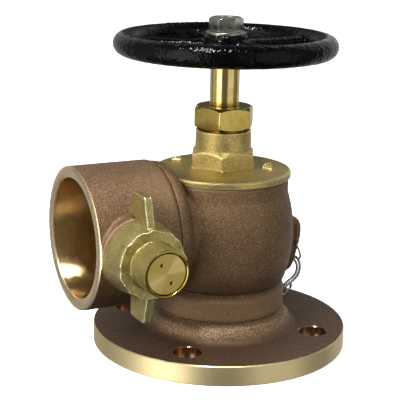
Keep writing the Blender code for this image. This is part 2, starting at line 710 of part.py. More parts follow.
def spring_points(points_per_turn):
    """Points of the coil, with s as height, between the plunger's collar and the stop."""
    low = COLLAR_TOP_S + GAP + SPRING_WIRE_R
    high = SPRING_STOP_S - GAP - SPRING_WIRE_R
    count = SPRING_TURNS * points_per_turn
    points = []
    for i in range(count + 1):
        angle = 2 * pi * i / points_per_turn
        height = low + (high - low) * i / count
        points.append((SPRING_COIL_R * cos(angle), SPRING_COIL_R * sin(angle), height))
    return points


def wire(name, points, radius, kind, closed=False, matrix=None):
    """A round wire along points in the valve's axes: a curve with a bevel."""
    curve = bpy.data.curves.new(name, "CURVE")
    curve.dimensions = "3D"
    curve.bevel_depth = radius
    curve.bevel_resolution = 1
    curve.use_fill_caps = not closed
    spline = curve.splines.new("POLY")
    spline.points.add(len(points) - 1)
    for target, point in zip(spline.points, points):
        place = matrix @ Vector(point) if matrix else Vector(point)
        target.co = (*place, 1)
    spline.use_cyclic_u = closed
    curve.materials.append(material(kind))
    obj = bpy.data.objects.new(name, curve)
    obj.location = PLACE
    bpy.context.scene.collection.objects.link(obj)
    return obj


def wing_outline():
    """One wing in (radius, s), with its foot inside the bell's wall."""
    return [
        (BELL_BACK_R - 3.4 * MM, BELL_BACK_S + 1.0 * MM),
        (BELL_BACK_R + 0.6 * MM, BELL_BACK_S - 1.4 * MM),
        (BELL_BACK_R + 2.4 * MM, WING_BACK_S),
        (WING_REACH - WING_EASE, WING_BACK_S),
        (WING_REACH, WING_BACK_S + WING_EASE),
        (WING_REACH, BELL_FRONT_S - 9.0 * MM),
        (WING_REACH - 1.4 * MM, BELL_FRONT_S - 7.4 * MM),
        (BELL_FRONT_R + 0.4 * MM, BELL_FRONT_S - 3.2 * MM),
        (BELL_BACK_R - 4.4 * MM, BELL_FRONT_S - 2.8 * MM),
    ]


def make_knob():
    """The winged pull knob: a hollow bell, the grip barrel and two wings."""
    recess_floor = KNOB_END_S - KNOB_RECESS_DEPTH
    bell_floor = HOUSING_END_S + 1.0 * MM
    outline = [
        (STEM_R + GAP, KNOB_FLOOR_S),
        (KNOB_RECESS_R - 1.5 * MM, KNOB_FLOOR_S),
        (KNOB_RECESS_R - 1.5 * MM, recess_floor),
        (KNOB_RECESS_R, recess_floor),
        (KNOB_RECESS_R, KNOB_END_S - 0.5 * MM),
        (KNOB_RECESS_R + 0.5 * MM, KNOB_END_S),
        (KNOB_R - 0.6 * MM, KNOB_END_S),
        (KNOB_R, KNOB_END_S - 0.6 * MM),
        (KNOB_R, BELL_FRONT_S),
        (BELL_FRONT_R - 0.6 * MM, BELL_FRONT_S),
        (BELL_FRONT_R, BELL_FRONT_S - 0.6 * MM),
        (BELL_BACK_R - 1.0 * MM, BELL_BACK_S + 9 * MM),
        (BELL_BACK_R, BELL_BACK_S + 1.2 * MM),
        (BELL_BACK_R - 0.8 * MM, BELL_BACK_S),
        (BELL_MOUTH_R, BELL_BACK_S),
        (BELL_BORE_R, BELL_BACK_S + 8 * MM),
        (BELL_BORE_R, bell_floor),
        (STEM_R + GAP, bell_floor),
    ]
    knob = turned_mesh(outline, FACETS_MEDIUM)
    knob = object_of("pull_knob", knob, "cast_brass", ALONG_LUG)
    for half, side in (("upper", 1), ("lower", -1)):
        plate = prism_mesh(wing_outline(), -WING_THICK / 2, WING_THICK / 2)
        stand = Matrix(((0, 0, 1, 0), (side, 0, 0, 0), (0, 1, 0, 0), (0, 0, 0, 1)))
        wing = object_of(f"{half}_wing_form", plate, "steel", ALONG_LUG @ stand)
        boolean(knob, wing, "UNION")


def make_knob_cap():
    top = KNOB_END_S - CAP_SINK
    reach = KNOB_RECESS_R - 0.4 * MM
    edge = 0.5 * MM
    outline = [
        (0, top),
        (reach - edge, top),
        (reach, top - edge),
        (reach, top - CAP_THICK),
        (0, top - CAP_THICK),
    ]
    cap = object_of("knob_cap", turned_mesh(outline, FACETS_MEDIUM), "turned_brass", ALONG_LUG)
    for k in range(2):
        angle = PIN_HOLE_TURN + k * pi
        place = (PIN_HOLE_REACH * cos(angle), -PIN_HOLE_REACH * sin(angle), 0)
        shift = ALONG_LUG @ Matrix.Translation(place)
        ends = (top - 2 * MM, top + 2 * MM)
        pin = cylinder(f"pin_cutter_{k}", PIN_HOLE_R, *ends, shift, FACETS_PIN)
        boolean(cap, pin, "DIFFERENCE")


def make_lug():
    housing = [
        (HOUSING_BORE_R, SOCKET_FLOOR_S + GAP),
        (HOUSING_R, SOCKET_FLOOR_S + GAP),
        (HOUSING_R, HOUSING_END_S - 0.8 * MM),
        (HOUSING_R - 0.8 * MM, HOUSING_END_S),
        (STEM_R + GAP, HOUSING_END_S),
        (STEM_R + GAP, SPRING_STOP_S),
        (HOUSING_BORE_R, SPRING_STOP_S),
    ]
    housing = turned_mesh(housing, FACETS_SMALL)
    object_of("spring_housing", housing, "turned_brass", ALONG_LUG)
    plunger = [
        (0, STEM_END_S),
        (STEM_R - 0.5 * MM, STEM_END_S),
        (STEM_R, STEM_END_S - 0.5 * MM),
        (STEM_R, COLLAR_TOP_S),
        (HOUSING_BORE_R - GAP, COLLAR_TOP_S),
        (HOUSING_BORE_R - GAP, SOCKET_FLOOR_S + GAP),
        (NOSE_R, SOCKET_FLOOR_S + GAP),
        (NOSE_R, NOSE_END_S + 2.4 * MM),
        (NOSE_R - 2.0 * MM, NOSE_END_S),
        (0, NOSE_END_S),
    ]
    object_of("plunger", turned_mesh(plunger, FACETS_SMALL), "turned_brass", ALONG_LUG)
    wire("lug_spring", spring_points(10), SPRING_WIRE_R, "steel", matrix=ALONG_LUG)
    make_knob()
    stem_nut = prism_mesh(hexagon(STEM_NUT_AF, 0), STEM_NUT_LOW_S, STEM_NUT_TOP_S)
    stem_nut = object_of("stem_nut", stem_nut, "turned_brass", ALONG_LUG)
    ends = (BELL_FRONT_S, KNOB_END_S)
    hole = cylinder("stem_hole", STEM_R + GAP, *ends, ALONG_LUG, FACETS_SMALL)
    boolean(stem_nut, hole, "DIFFERENCE")
    make_knob_cap()


def oval(centre, along, across, length, width, count=20):
    """A closed chain-link path with round ends: along and across are unit directions."""
    along = Vector(along).normalized()
    across = Vector(across)
    across = (across - along * across.dot(along)).normalized()
    straight = (length - width) / 2
    points = []
    for i in range(count):
        angle = 2 * pi * (i + 0.5) / count
        push = straight if cos(angle) > 0 else -straight
        u = push + width / 2 * cos(angle)
        v = width / 2 * sin(angle)
        points.append(Vector(centre) + along * u + across * v)
    return points


def smooth(points, steps):
    """A Catmull-Rom curve through the points."""
    points = [Vector(p) for p in points]
    ends = [2 * points[0] - points[1]] + points + [2 * points[-1] - points[-2]]
    found = []
    for a, b, c, d in zip(ends, ends[1:], ends[2:], ends[3:]):
        for i in range(steps):
            t = i / steps
            found.append(
                0.5 * (2 * b + (c - a) * t + (2 * a - 5 * b + 4 * c - d) * t * t
                       + (3 * b - a - 3 * c + d) * t * t * t)
            )
    found.append(points[-1])
    return found


def round_end(end, back, side):
    """Three points of the half turn past the end of a link, from the side given."""
    ahead = (end - back).normalized() * side.length
    return [end + side * cos(pi * k / 4) + ahead * sin(pi * k / 4) for k in range(1, 4)]


def long_link_path(route, half_width):
    """A closed link in the XZ plane whose two strands follow a bent centre line."""
    centre = smooth(route, 3)
    left = []
    right = []
    for i, point in enumerate(centre):
        ahead = centre[min(i + 1, len(centre) - 1)]
        behind = centre[max(i - 1, 0)]
        run = (ahead - behind).normalized()
        side = Vector((run.z, 0, -run.x)) * half_width
        left.append(point + side)
        right.append(point - side)
    far = round_end(centre[-1], centre[-2], left[-1] - centre[-1])
    near = round_end(centre[0], centre[1], right[0] - centre[0])
    return left + far + right[::-1] + near


def mm(*values):
    return Vector(values) * MM


def make_chain():
    """A ring in the ear's slot, a bent long link, small links, an end ring and a cap hook."""
    tilt = radians(72)
    hang = Vector((cos(tilt), 0, -sin(tilt)))
    ring_r = 6.4 * MM
    ear_ring = oval(mm(55.0, 0, 59.4) + hang * ring_r, hang, (0, 1, 0), 2 * ring_r, 2 * ring_r, 18)
    wire("chain_ear_ring", ear_ring, WIRE_R, "steel", closed=True)
    route = [
        mm(58.8, 0, 47.5),
        mm(61.1, 0, 44.0),
        mm(62.1, 0, 40.2),
        mm(61.4, 0, 36.2),
        mm(58.4, 0, 32.8),
        mm(54.0, 0, 30.6),
        mm(51.0, 0, 29.2),
    ]
    wire("chain_long_link", long_link_path(route, 1.6 * MM), WIRE_R, "steel", closed=True)
    stations = [mm(49.5, 0, 28.5), mm(50.2, 9.6, 23.0), mm(51.6, 18.6, 18.6), mm(56.6, 25.4, 15.6)]
    across = [(0.9, 0, 0.4), (0.2, 0.45, 0.86), (0.8, -0.5, 0.1)]
    overlap = 2.9 * MM
    for k in range(3):
        start, end = stations[k], stations[k + 1]
        length = (end - start).length + overlap
        link = oval((start + end) / 2, end - start, across[k], length, 5.0 * MM, 12)
        wire(f"chain_link_{k + 1}", link, WIRE_R, "steel", closed=True)
    end_ring = oval(mm(61.5, 24.9, 16.6), (1, -0.1, 0), (0, 0.7, 0.7), 9.5 * MM, 8.0 * MM, 16)
    wire("chain_end_ring", end_ring, WIRE_R, "steel", closed=True)
    eye = mm(66.2, 24.4, 16.6)
    loop = [eye + Vector((x, 0, z)) for x, z in arc((0, 0), 1.75 * MM, 130, 330, 7)]
    shank = smooth([loop[-1], mm(69.3, 24.3, 16.8), mm(70.0, 24.2, 18.6), mm(69.7, 24.2, 21.0)], 3)
    wire("cap_hook", loop[:-1] + shank, WIRE_R, "steel")


def main():
    clear_scene()
    make_body()
    ring(
        "bonnet_gasket", BONNET_BORE_R + 0.2 * MM, BODY_TOP_R - 0.3 * MM,
        BODY_TOP_Z + GAP, BONNET_UNDER_Z - GAP, "fibre", FACETS_LARGE,
    )
    make_bonnet()
    make_gland()
    make_spindle()
    make_clack()
    make_handwheel()
    make_outlet()
    make_lug()
    make_chain()


main()
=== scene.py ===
"""Looks of the flanged hydrant valve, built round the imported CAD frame.

Lengths are in millimetres. The valve's own axes have the spindle along Z at x = y = 0 and the hose
outlet along -X. TO_FRAME takes them to the frame, which is in metres. Cast pieces are remeshed and
smoothed, so that their corners are soft, and are then cut with tools that leave machined faces.
"""

from math import atan2, cos, degrees, hypot, pi, radians, sin, sqrt, tan

import bmesh
import bpy
import numpy as np
from mathutils import Matrix, Vector, noise
from mathutils.bvhtree import BVHTree


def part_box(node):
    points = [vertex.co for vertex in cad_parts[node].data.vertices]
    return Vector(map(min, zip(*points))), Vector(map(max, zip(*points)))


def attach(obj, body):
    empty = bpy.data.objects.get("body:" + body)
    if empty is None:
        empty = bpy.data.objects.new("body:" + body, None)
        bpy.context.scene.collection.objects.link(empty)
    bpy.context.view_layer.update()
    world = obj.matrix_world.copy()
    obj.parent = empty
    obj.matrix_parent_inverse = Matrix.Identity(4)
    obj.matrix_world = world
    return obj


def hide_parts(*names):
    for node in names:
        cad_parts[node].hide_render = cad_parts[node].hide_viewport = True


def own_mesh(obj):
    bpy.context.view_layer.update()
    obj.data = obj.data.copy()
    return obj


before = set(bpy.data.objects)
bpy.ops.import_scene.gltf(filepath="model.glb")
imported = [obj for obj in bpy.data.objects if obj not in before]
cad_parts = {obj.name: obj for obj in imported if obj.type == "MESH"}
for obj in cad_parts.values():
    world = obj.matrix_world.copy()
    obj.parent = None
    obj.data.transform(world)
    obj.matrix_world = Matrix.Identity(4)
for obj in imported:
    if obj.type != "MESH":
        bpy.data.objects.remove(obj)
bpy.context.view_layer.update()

MM = 0.001  # in the frame's metres
GAP = 0.3
SEAM = 0.12  # the fine line where the outlet meets the body


def middle(node):
    return (lowest(node) + highest(node)) / 2


def lowest(node):
    return Vector(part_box(node)[0]) / MM


def highest(node):
    return Vector(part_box(node)[1]) / MM


# Places read from the frame
SPINDLE_X = middle("spindle").x
SPINDLE_Y = middle("spindle").y
TO_FRAME = Matrix.Scale(MM, 4) @ Matrix.Translation((SPINDLE_X, SPINDLE_Y, 0))
OUTLET_Z = middle("hose_outlet").z
LUG_X = middle("knob_cap").x - SPINDLE_X
MOUTH_X = lowest("hose_outlet").x - SPINDLE_X
REAR_X = highest("hose_outlet").x - SPINDLE_X
FLANGE_R = highest("valve_body").y - SPINDLE_Y
OUTLET_R = (highest("hose_outlet").z - lowest("hose_outlet").z) / 2
KNOB_END_S = SPINDLE_Y - lowest("pull_knob").y
BONNET_R = highest("bonnet").y - SPINDLE_Y

# Body casting
FLANGE_THICK = 12.8
HUB_FLARE_HIGHLIGHT_Z = 19.5  # painted highlight: the colour is lighter here, where light falls on the hub's flare
COLLAR_HIGHLIGHT_Z = 32.5
WAIST_SHADE_Z = 45.0  # painted shade: the colour darkens in the groove between collar and barrel
BOLT_CIRCLE_R = 63.5
BOLT_HOLE_R = 8.75
BOLT_COUNT = 4
BORE_R = 31.75
SEAT_THROAT_R = 29.5
SEAT_RING_R = 33.0
SEAT_Z = 50.0
COLLAR_R = 41.8
BARREL_R = 46.8
BARREL_MID_Z = 74.0
BARREL_ARC_R = 88.0
BODY_TOP_R = 42.4
BODY_TOP_Z = 109.6
CAVITY_R = 39.5
BONNET_BORE_R = 36.6
NECK_R = 43.3
SPIGOT_R = 38.6
SPIGOT_END_X = -60.0
SPIGOT_BORE_R = 29.0
EAR_THICK = 5.6
SLOT_CENTRE = (55.0, 65.3)
SLOT_WIDTH = 2.8
SLOT_HEIGHT = 16.3

# Outlet
OUTLET_BORE_R = 37.2
STEP_X = -62.0
STEP_R = 34.0
SEAL_BACK_X = -65.0
SEAL_FRONT_X = -71.5
SEAL_GROOVE_R = 40.2

# Bonnet, gland, spindle
BONNET_UNDER_Z = BODY_TOP_Z + 1.5
BONNET_TOP_Z = BONNET_UNDER_Z + 4.5
BONNET_SPIGOT_Z = 100.3
BONNET_HEX_AF = 38.4
BONNET_HEX_TOP_Z = 128.6
BONNET_NECK_R = 17.8
BONNET_NECK_TOP_Z = 140.9
STUFFING_R = 13.7
STUFFING_Z = 120.0
SPINDLE_R = 9.3
THREAD_R = 9.0
THREAD_PITCH = 5.08
THREAD_LOW_Z = 82.0
BUTTON_R = 8.5
BUTTON_Z = 64.4
GLAND_AF = 35.0
GLAND_UNDER_Z = 141.8
GLAND_SPIGOT_Z = 134.2
GLAND_TOP_Z = 156.0

# Handwheel
RIM_R = 63.5
RIM_SECTION_R = 6.9
WHEEL_Z = highest("handwheel").z - RIM_SECTION_R
HUB_R = 13.5
HUB_UNDER_Z = lowest("handwheel").z
WASHER_LOW_Z = lowest("wheel_washer").z
HUB_TOP_Z = WASHER_LOW_Z - GAP
WASHER_TOP_Z = highest("wheel_washer").z
NUT_LOW_Z = lowest("wheel_nut").z
NUT_TOP_Z = highest("wheel_nut").z
SPINDLE_TOP_Z = highest("spindle").z
SQUARE_TOP_Z = 198.6
SPOKE_COUNT = 5
FIRST_SPOKE = radians(148)
SPOKE_Z = WHEEL_Z - 1.0
SPOKE_ROOT = 9  # where a spoke starts, inside the hub
SPOKE_LENGTH = 52
SPOKE_WIDE = 4.7  # half sizes at the waist
SPOKE_TALL = 3.4
SQUARE_SIDE = 12.6
WHEEL_STUD_R = 6.0
WASHER_R = 12.7
WHEEL_NUT_AF = 18.9

# Pull lug: s is the distance outwards from the outlet's axis
BOSS_R = 22.4
BOSS_FACE_S = 47.0
BELL_BACK_S = 48.4
BELL_BACK_R = 22.8
BELL_FRONT_S = 68.4
BELL_FRONT_R = 20.4
KNOB_R = 14.1
KNOB_RECESS_R = 12.4
WING_REACH = 38.0
WING_BACK_S = 41.0
WING_THICK = 4.8
NOSE_R = 6.0
SOCKET_R = 13.0
SOCKET_FLOOR_S = 41.4
HOUSING_END_S = 66.6
STEM_R = 4.0
COLLAR_TOP_S = 45.6
SPRING_STOP_S = 63.4
SPRING_COIL_R = 7.2
SPRING_WIRE_R = 0.9
SPRING_TURNS = 5

WIRE_R = 0.85
EAR_WIRE_R = 0.68  # thin enough to swing in the ear's slot

ROUND = 160  # segments round a large turned solid
FINE = 96  # segments round a small one


# ---------------------------------------------------------------- mesh tools


def arc(centre, radius, start, end, steps):
    """Points of a round stretch; the angles are in degrees, from the first axis."""
    points = []
    for i in range(steps + 1):
        angle = radians(start + (end - start) * i / steps)
        points.append((centre[0] + radius * cos(angle), centre[1] + radius * sin(angle)))
    return points


def eased(outline, ease, steps=4):
    """An outline with each corner off the axis rounded by a curve about ease long."""
    found = []
    last = len(outline) - 1
    for i, corner in enumerate(outline):
        corner = Vector(corner)
        before = Vector(outline[i - 1 if i else last])
        after = Vector(outline[i + 1 if i < last else 0])
        ends = corner.x == 0 and (i in (0, last))
        turn = (corner - before).angle(after - corner, 0)
        if ends or turn < radians(25):
            found.append(tuple(corner))
            continue
        reach = min(ease, 0.45 * (corner - before).length, 0.45 * (after - corner).length)
        first = corner + (before - corner).normalized() * reach
        second = corner + (after - corner).normalized() * reach
        for k in range(steps + 1):
            t = k / steps
            found.append(tuple((1 - t) ** 2 * first + 2 * t * (1 - t) * corner + t * t * second))
    return found


def turned_mesh(outline, segments):
    """A solid turned about Z from (radius, height) points; off the axis it is a closed ring."""
    bm = bmesh.new()
    verts = [bm.verts.new((radius, 0, height)) for radius, height in outline]
    edges = [bm.edges.new(pair) for pair in zip(verts, verts[1:])]
    if outline[0][0] != 0 or outline[-1][0] != 0:
        edges.append(bm.edges.new((verts[-1], verts[0])))
    bmesh.ops.spin(
        bm, geom=verts + edges, cent=(0, 0, 0), axis=(0, 0, 1), angle=2 * pi,
        steps=segments, use_duplicate=False,
    )
    bmesh.ops.remove_doubles(bm, verts=bm.verts, dist=0.001)
    return bm


def prism_mesh(outline, low, high):
    """A straight prism from an outline in XY, from z = low to z = high."""
    bm = bmesh.new()
    face = bm.faces.new([bm.verts.new((x, y, low)) for x, y in outline])
    pushed = bmesh.ops.extrude_face_region(bm, geom=[face])
    moved = [item for item in pushed["geom"] if isinstance(item, bmesh.types.BMVert)]
    bmesh.ops.translate(bm, verts=moved, vec=(0, 0, high - low))
    return bm


def hexagon(across_flats, turn):
    corner = across_flats / sqrt(3)
    return [(corner * cos(turn + k * pi / 3), corner * sin(turn + k * pi / 3)) for k in range(6)]


def linked(name, data):
    obj = bpy.data.objects.new(name, data)
    bpy.context.scene.collection.objects.link(obj)
    return obj


def mesh_of(name, bm):
    mesh = bpy.data.meshes.new(name)
    bm.to_mesh(mesh)
    bm.free()
    return mesh


def rectangle(wide, deep):
    x, y = wide / 2, deep / 2
    return [(-x, -y), (x, -y), (x, y), (-x, y)]


def object_of(name, bm, matrix=None):
    """A mesh object in the frame from a bmesh in the valve's axes."""
    bm.transform(TO_FRAME @ (matrix or Matrix()))
    bmesh.ops.recalc_face_normals(bm, faces=bm.faces)
    return linked(name, mesh_of(name, bm))


def joined(name, bms):
    """One object from several closed bmeshes that may run into each other."""
    whole = bmesh.new()
    for bm in bms:
        bmesh.ops.recalc_face_normals(bm, faces=bm.faces)
        part = mesh_of("part", bm)
        whole.from_mesh(part)
        bpy.data.meshes.remove(part)
    whole.transform(TO_FRAME)
    return linked(name, mesh_of(name, whole))


def loft(rings):
    """A closed solid through rings of (x, y, z) points that all have the same count."""
    bm = bmesh.new()
    rings = [[bm.verts.new(point) for point in ring] for ring in rings]
    for first, second in zip(rings, rings[1:]):
        for k in range(len(first)):
            j = (k + 1) % len(first)
            bm.faces.new((first[k], first[j], second[j], second[k]))
    bm.faces.new(rings[0])
    bm.faces.new(rings[-1])
    return bm


def applied(obj):
    """Makes the object's modifiers part of its mesh."""
    graph = bpy.context.evaluated_depsgraph_get()
    mesh = bpy.data.meshes.new_from_object(obj.evaluated_get(graph))
    old = obj.data
    obj.modifiers.clear()
    obj.data = mesh
    bpy.data.meshes.remove(old)
    return obj


def soften(obj, voxel, passes, factor=0.5):
    """Joins what overlaps into one skin of even facets, and rounds its corners."""
    remesh = obj.modifiers.new("Remesh", "REMESH")
    remesh.mode = "VOXEL"
    remesh.voxel_size = voxel * MM
    smooth = obj.modifiers.new("Smooth", "SMOOTH")
    smooth.factor = factor
    smooth.iterations = passes
    return applied(obj)


def roughen(obj, height, size, seed):
    """Moves each point along its normal by a smooth noise, as a sand mould leaves a skin."""
    mesh = obj.data
    shift = Vector((seed * 7.3, seed * 3.1, seed * 5.7))
    normals = [v.normal.copy() for v in mesh.vertices]
    for vert, normal in zip(mesh.vertices, normals):
        place = vert.co / (size * MM)
        coarse = noise.noise(place + shift)
        fine = noise.noise(place / 0.35 + shift)
        vert.co += normal * (height * MM) * (coarse + 0.5 * fine)
    mesh.update()
    return obj


def cut(obj, tools, operation="DIFFERENCE", solver="MANIFOLD"):
    """Cuts the tools from the object one after another."""
    for tool in tools:
        modifier = obj.modifiers.new("Cut", "BOOLEAN")
        modifier.object = tool
        modifier.operation = operation
        modifier.solver = solver
    return applied(obj)


def machined_faces(obj, tools, slot=1):
    """Gives the faces that lie on a tool's surface another material slot."""
    near = 0.004 * MM
    for tool in tools:
        bm = bmesh.new()
        bm.from_mesh(tool.data)
        tree = BVHTree.FromBMesh(bm)
        bm.free()
        for face in obj.data.polygons:
            if tree.find_nearest(face.center, near)[0] is not None:
                face.material_index = slot


def remove(objects):
    for obj in objects:
        bpy.data.objects.remove(obj, do_unlink=True)


def edge_wear(obj, passes=2):
    """Stores how sharply the skin bulges at each point, as an attribute for the materials."""
    mesh = obj.data
    count = len(mesh.vertices)
    points = np.empty(count * 3)
    normals = np.empty(count * 3)
    ends = np.empty(len(mesh.edges) * 2, np.int64)
    mesh.vertices.foreach_get("co", points)
    mesh.vertices.foreach_get("normal", normals)
    mesh.edges.foreach_get("vertices", ends)
    points = points.reshape(-1, 3)
    normals = normals.reshape(-1, 3)
    a, b = ends.reshape(-1, 2).T
    links = np.maximum(np.bincount(a, minlength=count) + np.bincount(b, minlength=count), 1)

    def around(values):
        total = np.bincount(a, values[b], count) + np.bincount(b, values[a], count)
        return total / links

    offset = np.stack([around(points[:, k]) for k in range(3)], axis=1) - points
    lengths = np.linalg.norm(points[a] - points[b], axis=1)
    spread = (np.bincount(a, lengths, count) + np.bincount(b, lengths, count)) / links
    bulge = -(offset * normals).sum(axis=1) / np.maximum(spread, 1e-9)
    for _ in range(passes):
        bulge = 0.4 * bulge + 0.6 * around(bulge)
    wear = mesh.attributes.new("wear", "FLOAT", "POINT")
    wear.data.foreach_set("value", np.clip(bulge * 4, -1, 1).astype(np.float32))


def shaded(obj, angle=32):
    obj.data.shade_smooth()
    obj.data.set_sharp_from_angle(angle=radians(angle))
    return obj


def finished(obj, node, body, materials, angle=32):
    """Materials, shading, and the piece's place in the frame."""
    shaded(obj, angle)
    indexes = [face.material_index for face in obj.data.polygons]
    obj.data.materials.clear()
    for material in materials:
        obj.data.materials.append(material)
    for face, index in zip(obj.data.polygons, indexes):
        face.material_index = index
    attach(obj, body)
    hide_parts(node)
    return obj


def bevelled(obj, width, segments=3, angle=30):
    bevel = obj.modifiers.new("Bevel", "BEVEL")
    bevel.width = width * MM
    bevel.segments = segments
    bevel.limit_method = "ANGLE"
    bevel.angle_limit = radians(angle)
    bevel.harden_normals = False
    return applied(obj)


ALONG_OUTLET = Matrix.Translation((0, 0, OUTLET_Z)) @ Matrix.Rotation(pi / 2, 4, "Y")
ALONG_LUG = Matrix.Translation((LUG_X, 0, OUTLET_Z)) @ Matrix.Rotation(pi / 2, 4, "X")


def turned_object(name, outline, segments=ROUND, matrix=None):
    return object_of(name, turned_mesh(outline, segments), matrix)


def moved(bm, matrix):
    bm.transform(matrix)
    return bm


# ---------------------------------------------------------------- materials


class Nodes:
    """A short way to write a material's node tree."""

    def __init__(self, name):
        self.material = bpy.data.materials.new(name)
        self.material.use_nodes = True
        self.tree = self.material.node_tree
        self.shader = self.tree.nodes["Principled BSDF"]
        self.place = self.add("ShaderNodeTexCoord").outputs["Object"]

    def add(self, kind, **values):
        node = self.tree.nodes.new(kind)
        for key, value in values.items():
            setattr(node, key, value)
        return node

    def link(self, source, target):
        self.tree.links.new(source, target)

    def noise(self, size, detail=3.0, rough=0.55, stretch=None, distortion=0.0):
        """A noise whose lumps are about size millimetres across."""
        source = self.place
        if stretch:
            mapping = self.add("ShaderNodeMapping")
            mapping.inputs["Scale"].default_value = stretch
            self.link(source, mapping.inputs["Vector"])
            source = mapping.outputs["Vector"]
        node = self.add("ShaderNodeTexNoise")
        node.inputs["Scale"].default_value = 1 / (size * MM)
        node.inputs["Detail"].default_value = detail
        node.inputs["Roughness"].default_value = rough
        node.inputs["Distortion"].default_value = distortion
        self.link(source, node.inputs["Vector"])
        return node.outputs["Fac"]

    def attribute(self, name):
        node = self.add("ShaderNodeAttribute", attribute_name=name)
        return node.outputs["Fac"]

    def remap(self, source, low, high, to_low=0.0, to_high=1.0):
        node = self.add("ShaderNodeMapRange")
        node.inputs["From Min"].default_value = low
        node.inputs["From Max"].default_value = high
        node.inputs["To Min"].default_value = to_low
        node.inputs["To Max"].default_value = to_high
        self.link(source, node.inputs["Value"])
        return node.outputs["Result"]

    def math(self, operation, first, second):
        node = self.add("ShaderNodeMath", operation=operation)
        for socket, value in zip(node.inputs, (first, second)):
            if isinstance(value, (int, float)):
                socket.default_value = value
            else:
                self.link(value, socket)
        return node.outputs["Value"]

    def mix(self, factor, first, second, blend="MIX"):
        node = self.add("ShaderNodeMix", data_type="RGBA", blend_type=blend)
        if isinstance(factor, (int, float)):
            node.inputs["Factor"].default_value = factor
        else:
            self.link(factor, node.inputs["Factor"])
        for name, value in (("A", first), ("B", second)):
            socket = [s for s in node.inputs if s.name == name and s.type == "RGBA"][0]
            if isinstance(value, tuple):
                socket.default_value = (*value, 1)
            else:
                self.link(value, socket)
        return [s for s in node.outputs if s.type == "RGBA"][0]

    def axis(self, name):
        node = self.add("ShaderNodeSeparateXYZ")
        self.link(self.place, node.inputs["Vector"])
        return self.math("DIVIDE", node.outputs[name], MM)

    def away(self, name, value):
        """How far a place is from a value along an axis."""
        return self.math("ABSOLUTE", self.math("SUBTRACT", self.axis(name), value), 0.0)

    def bump(self, height, distance, strength=1.0, below=None):
        node = self.add("ShaderNodeBump")
        node.inputs["Distance"].default_value = distance * MM
        node.inputs["Strength"].default_value = strength
        self.link(height, node.inputs["Height"])
        if below is not None:
            self.link(below, node.inputs["Normal"])
        return node.outputs["Normal"]

    def finish(self, colour=None, roughness=None, normal=None, metallic=None):
        given = {"Base Color": colour, "Roughness": roughness, "Normal": normal, "Metallic": metallic}
        for name, value in given.items():
            if value is None:
                continue
            if isinstance(value, (int, float)):
                self.shader.inputs[name].default_value = value
            elif isinstance(value, tuple):
                self.shader.inputs[name].default_value = (*value, 1)
            else:
                self.link(value, self.shader.inputs[name])
        return self.material


def cast_gunmetal():
    """Brown sand-cast gunmetal: fine bright grain, dark pits, and lighter rubbed edges."""
    n = Nodes("cast_gunmetal")
    patches = n.noise(30, 3, 0.5)
    grain = n.noise(0.66, 3, 0.6)
    fine = n.noise(0.38, 2, 0.6)
    colour = n.mix(n.remap(patches, 0.35, 0.68), (0.120, 0.062, 0.029), (0.198, 0.114, 0.051))
    colour = n.mix(n.remap(grain, 0.46, 0.66, 0.0, 0.85), colour, (0.44, 0.295, 0.155))
    colour = n.mix(n.remap(fine, 0.36, 0.50, 0.80, 0.0), colour, (0.046, 0.021, 0.012))
    wear = n.remap(n.attribute("wear"), 0.14, 0.75, 0.0, 0.5)
    colour = n.mix(wear, colour, (0.60, 0.42, 0.24))
    # painted shade: darker towards the groove between collar and barrel, where shade falls
    waist = n.away("Z", WAIST_SHADE_Z)
    colour = n.mix(n.remap(waist, 2.0, 13.0, 0.45, 0.0), colour, (0.055, 0.026, 0.015))
    # painted highlight: lighter speckles round the hub's flare, where light from above and in front falls
    flare = n.away("Z", HUB_FLARE_HIGHLIGHT_Z)
    lit = n.math("MULTIPLY", n.remap(flare, 1.5, 5.5, 1.0, 0.0), n.remap(grain, 0.44, 0.60))
    colour = n.mix(n.math("MULTIPLY", lit, 0.65), colour, (0.62, 0.43, 0.26))
    # painted light: a lighter band round the collar, where the light falls on it
    collar_highlight = n.away("Z", COLLAR_HIGHLIGHT_Z)
    colour = n.mix(n.remap(collar_highlight, 5.0, 8.5, 0.30, 0.0), colour, (0.52, 0.34, 0.19))
    flange_top = n.remap(n.axis("Z"), FLANGE_THICK + 0.5, FLANGE_THICK + 4.5, 0.62, 0.0)
    colour = n.mix(flange_top, colour, (0.060, 0.030, 0.020))
    height = n.math("ADD", grain, n.math("MULTIPLY", fine, 0.55))
    normal = n.bump(height, 0.36, 1.0)
    rough = n.remap(grain, 0.35, 0.7, 0.60, 0.40)
    return n.finish(colour, rough, normal, 0.6)


def machined(name, colour, dark, grain_stretch, rough, depth=0.048):
    """Gunmetal or brass fresh off the lathe, with fine tool lines along the cut."""
    n = Nodes(name)
    lines = n.noise(1.0, 4, 0.7, grain_stretch)
    blotch = n.noise(14, 3, 0.5)
    tint = n.mix(n.remap(lines, 0.3, 0.7), dark, colour)
    tint = n.mix(n.remap(blotch, 0.35, 0.7, 0.0, 0.35), tint, dark)
    normal = n.bump(lines, depth, 0.55)
    roughness = n.remap(lines, 0.25, 0.75, rough + 0.12, rough - 0.05)
    return n.finish(tint, roughness, normal, 1.0)


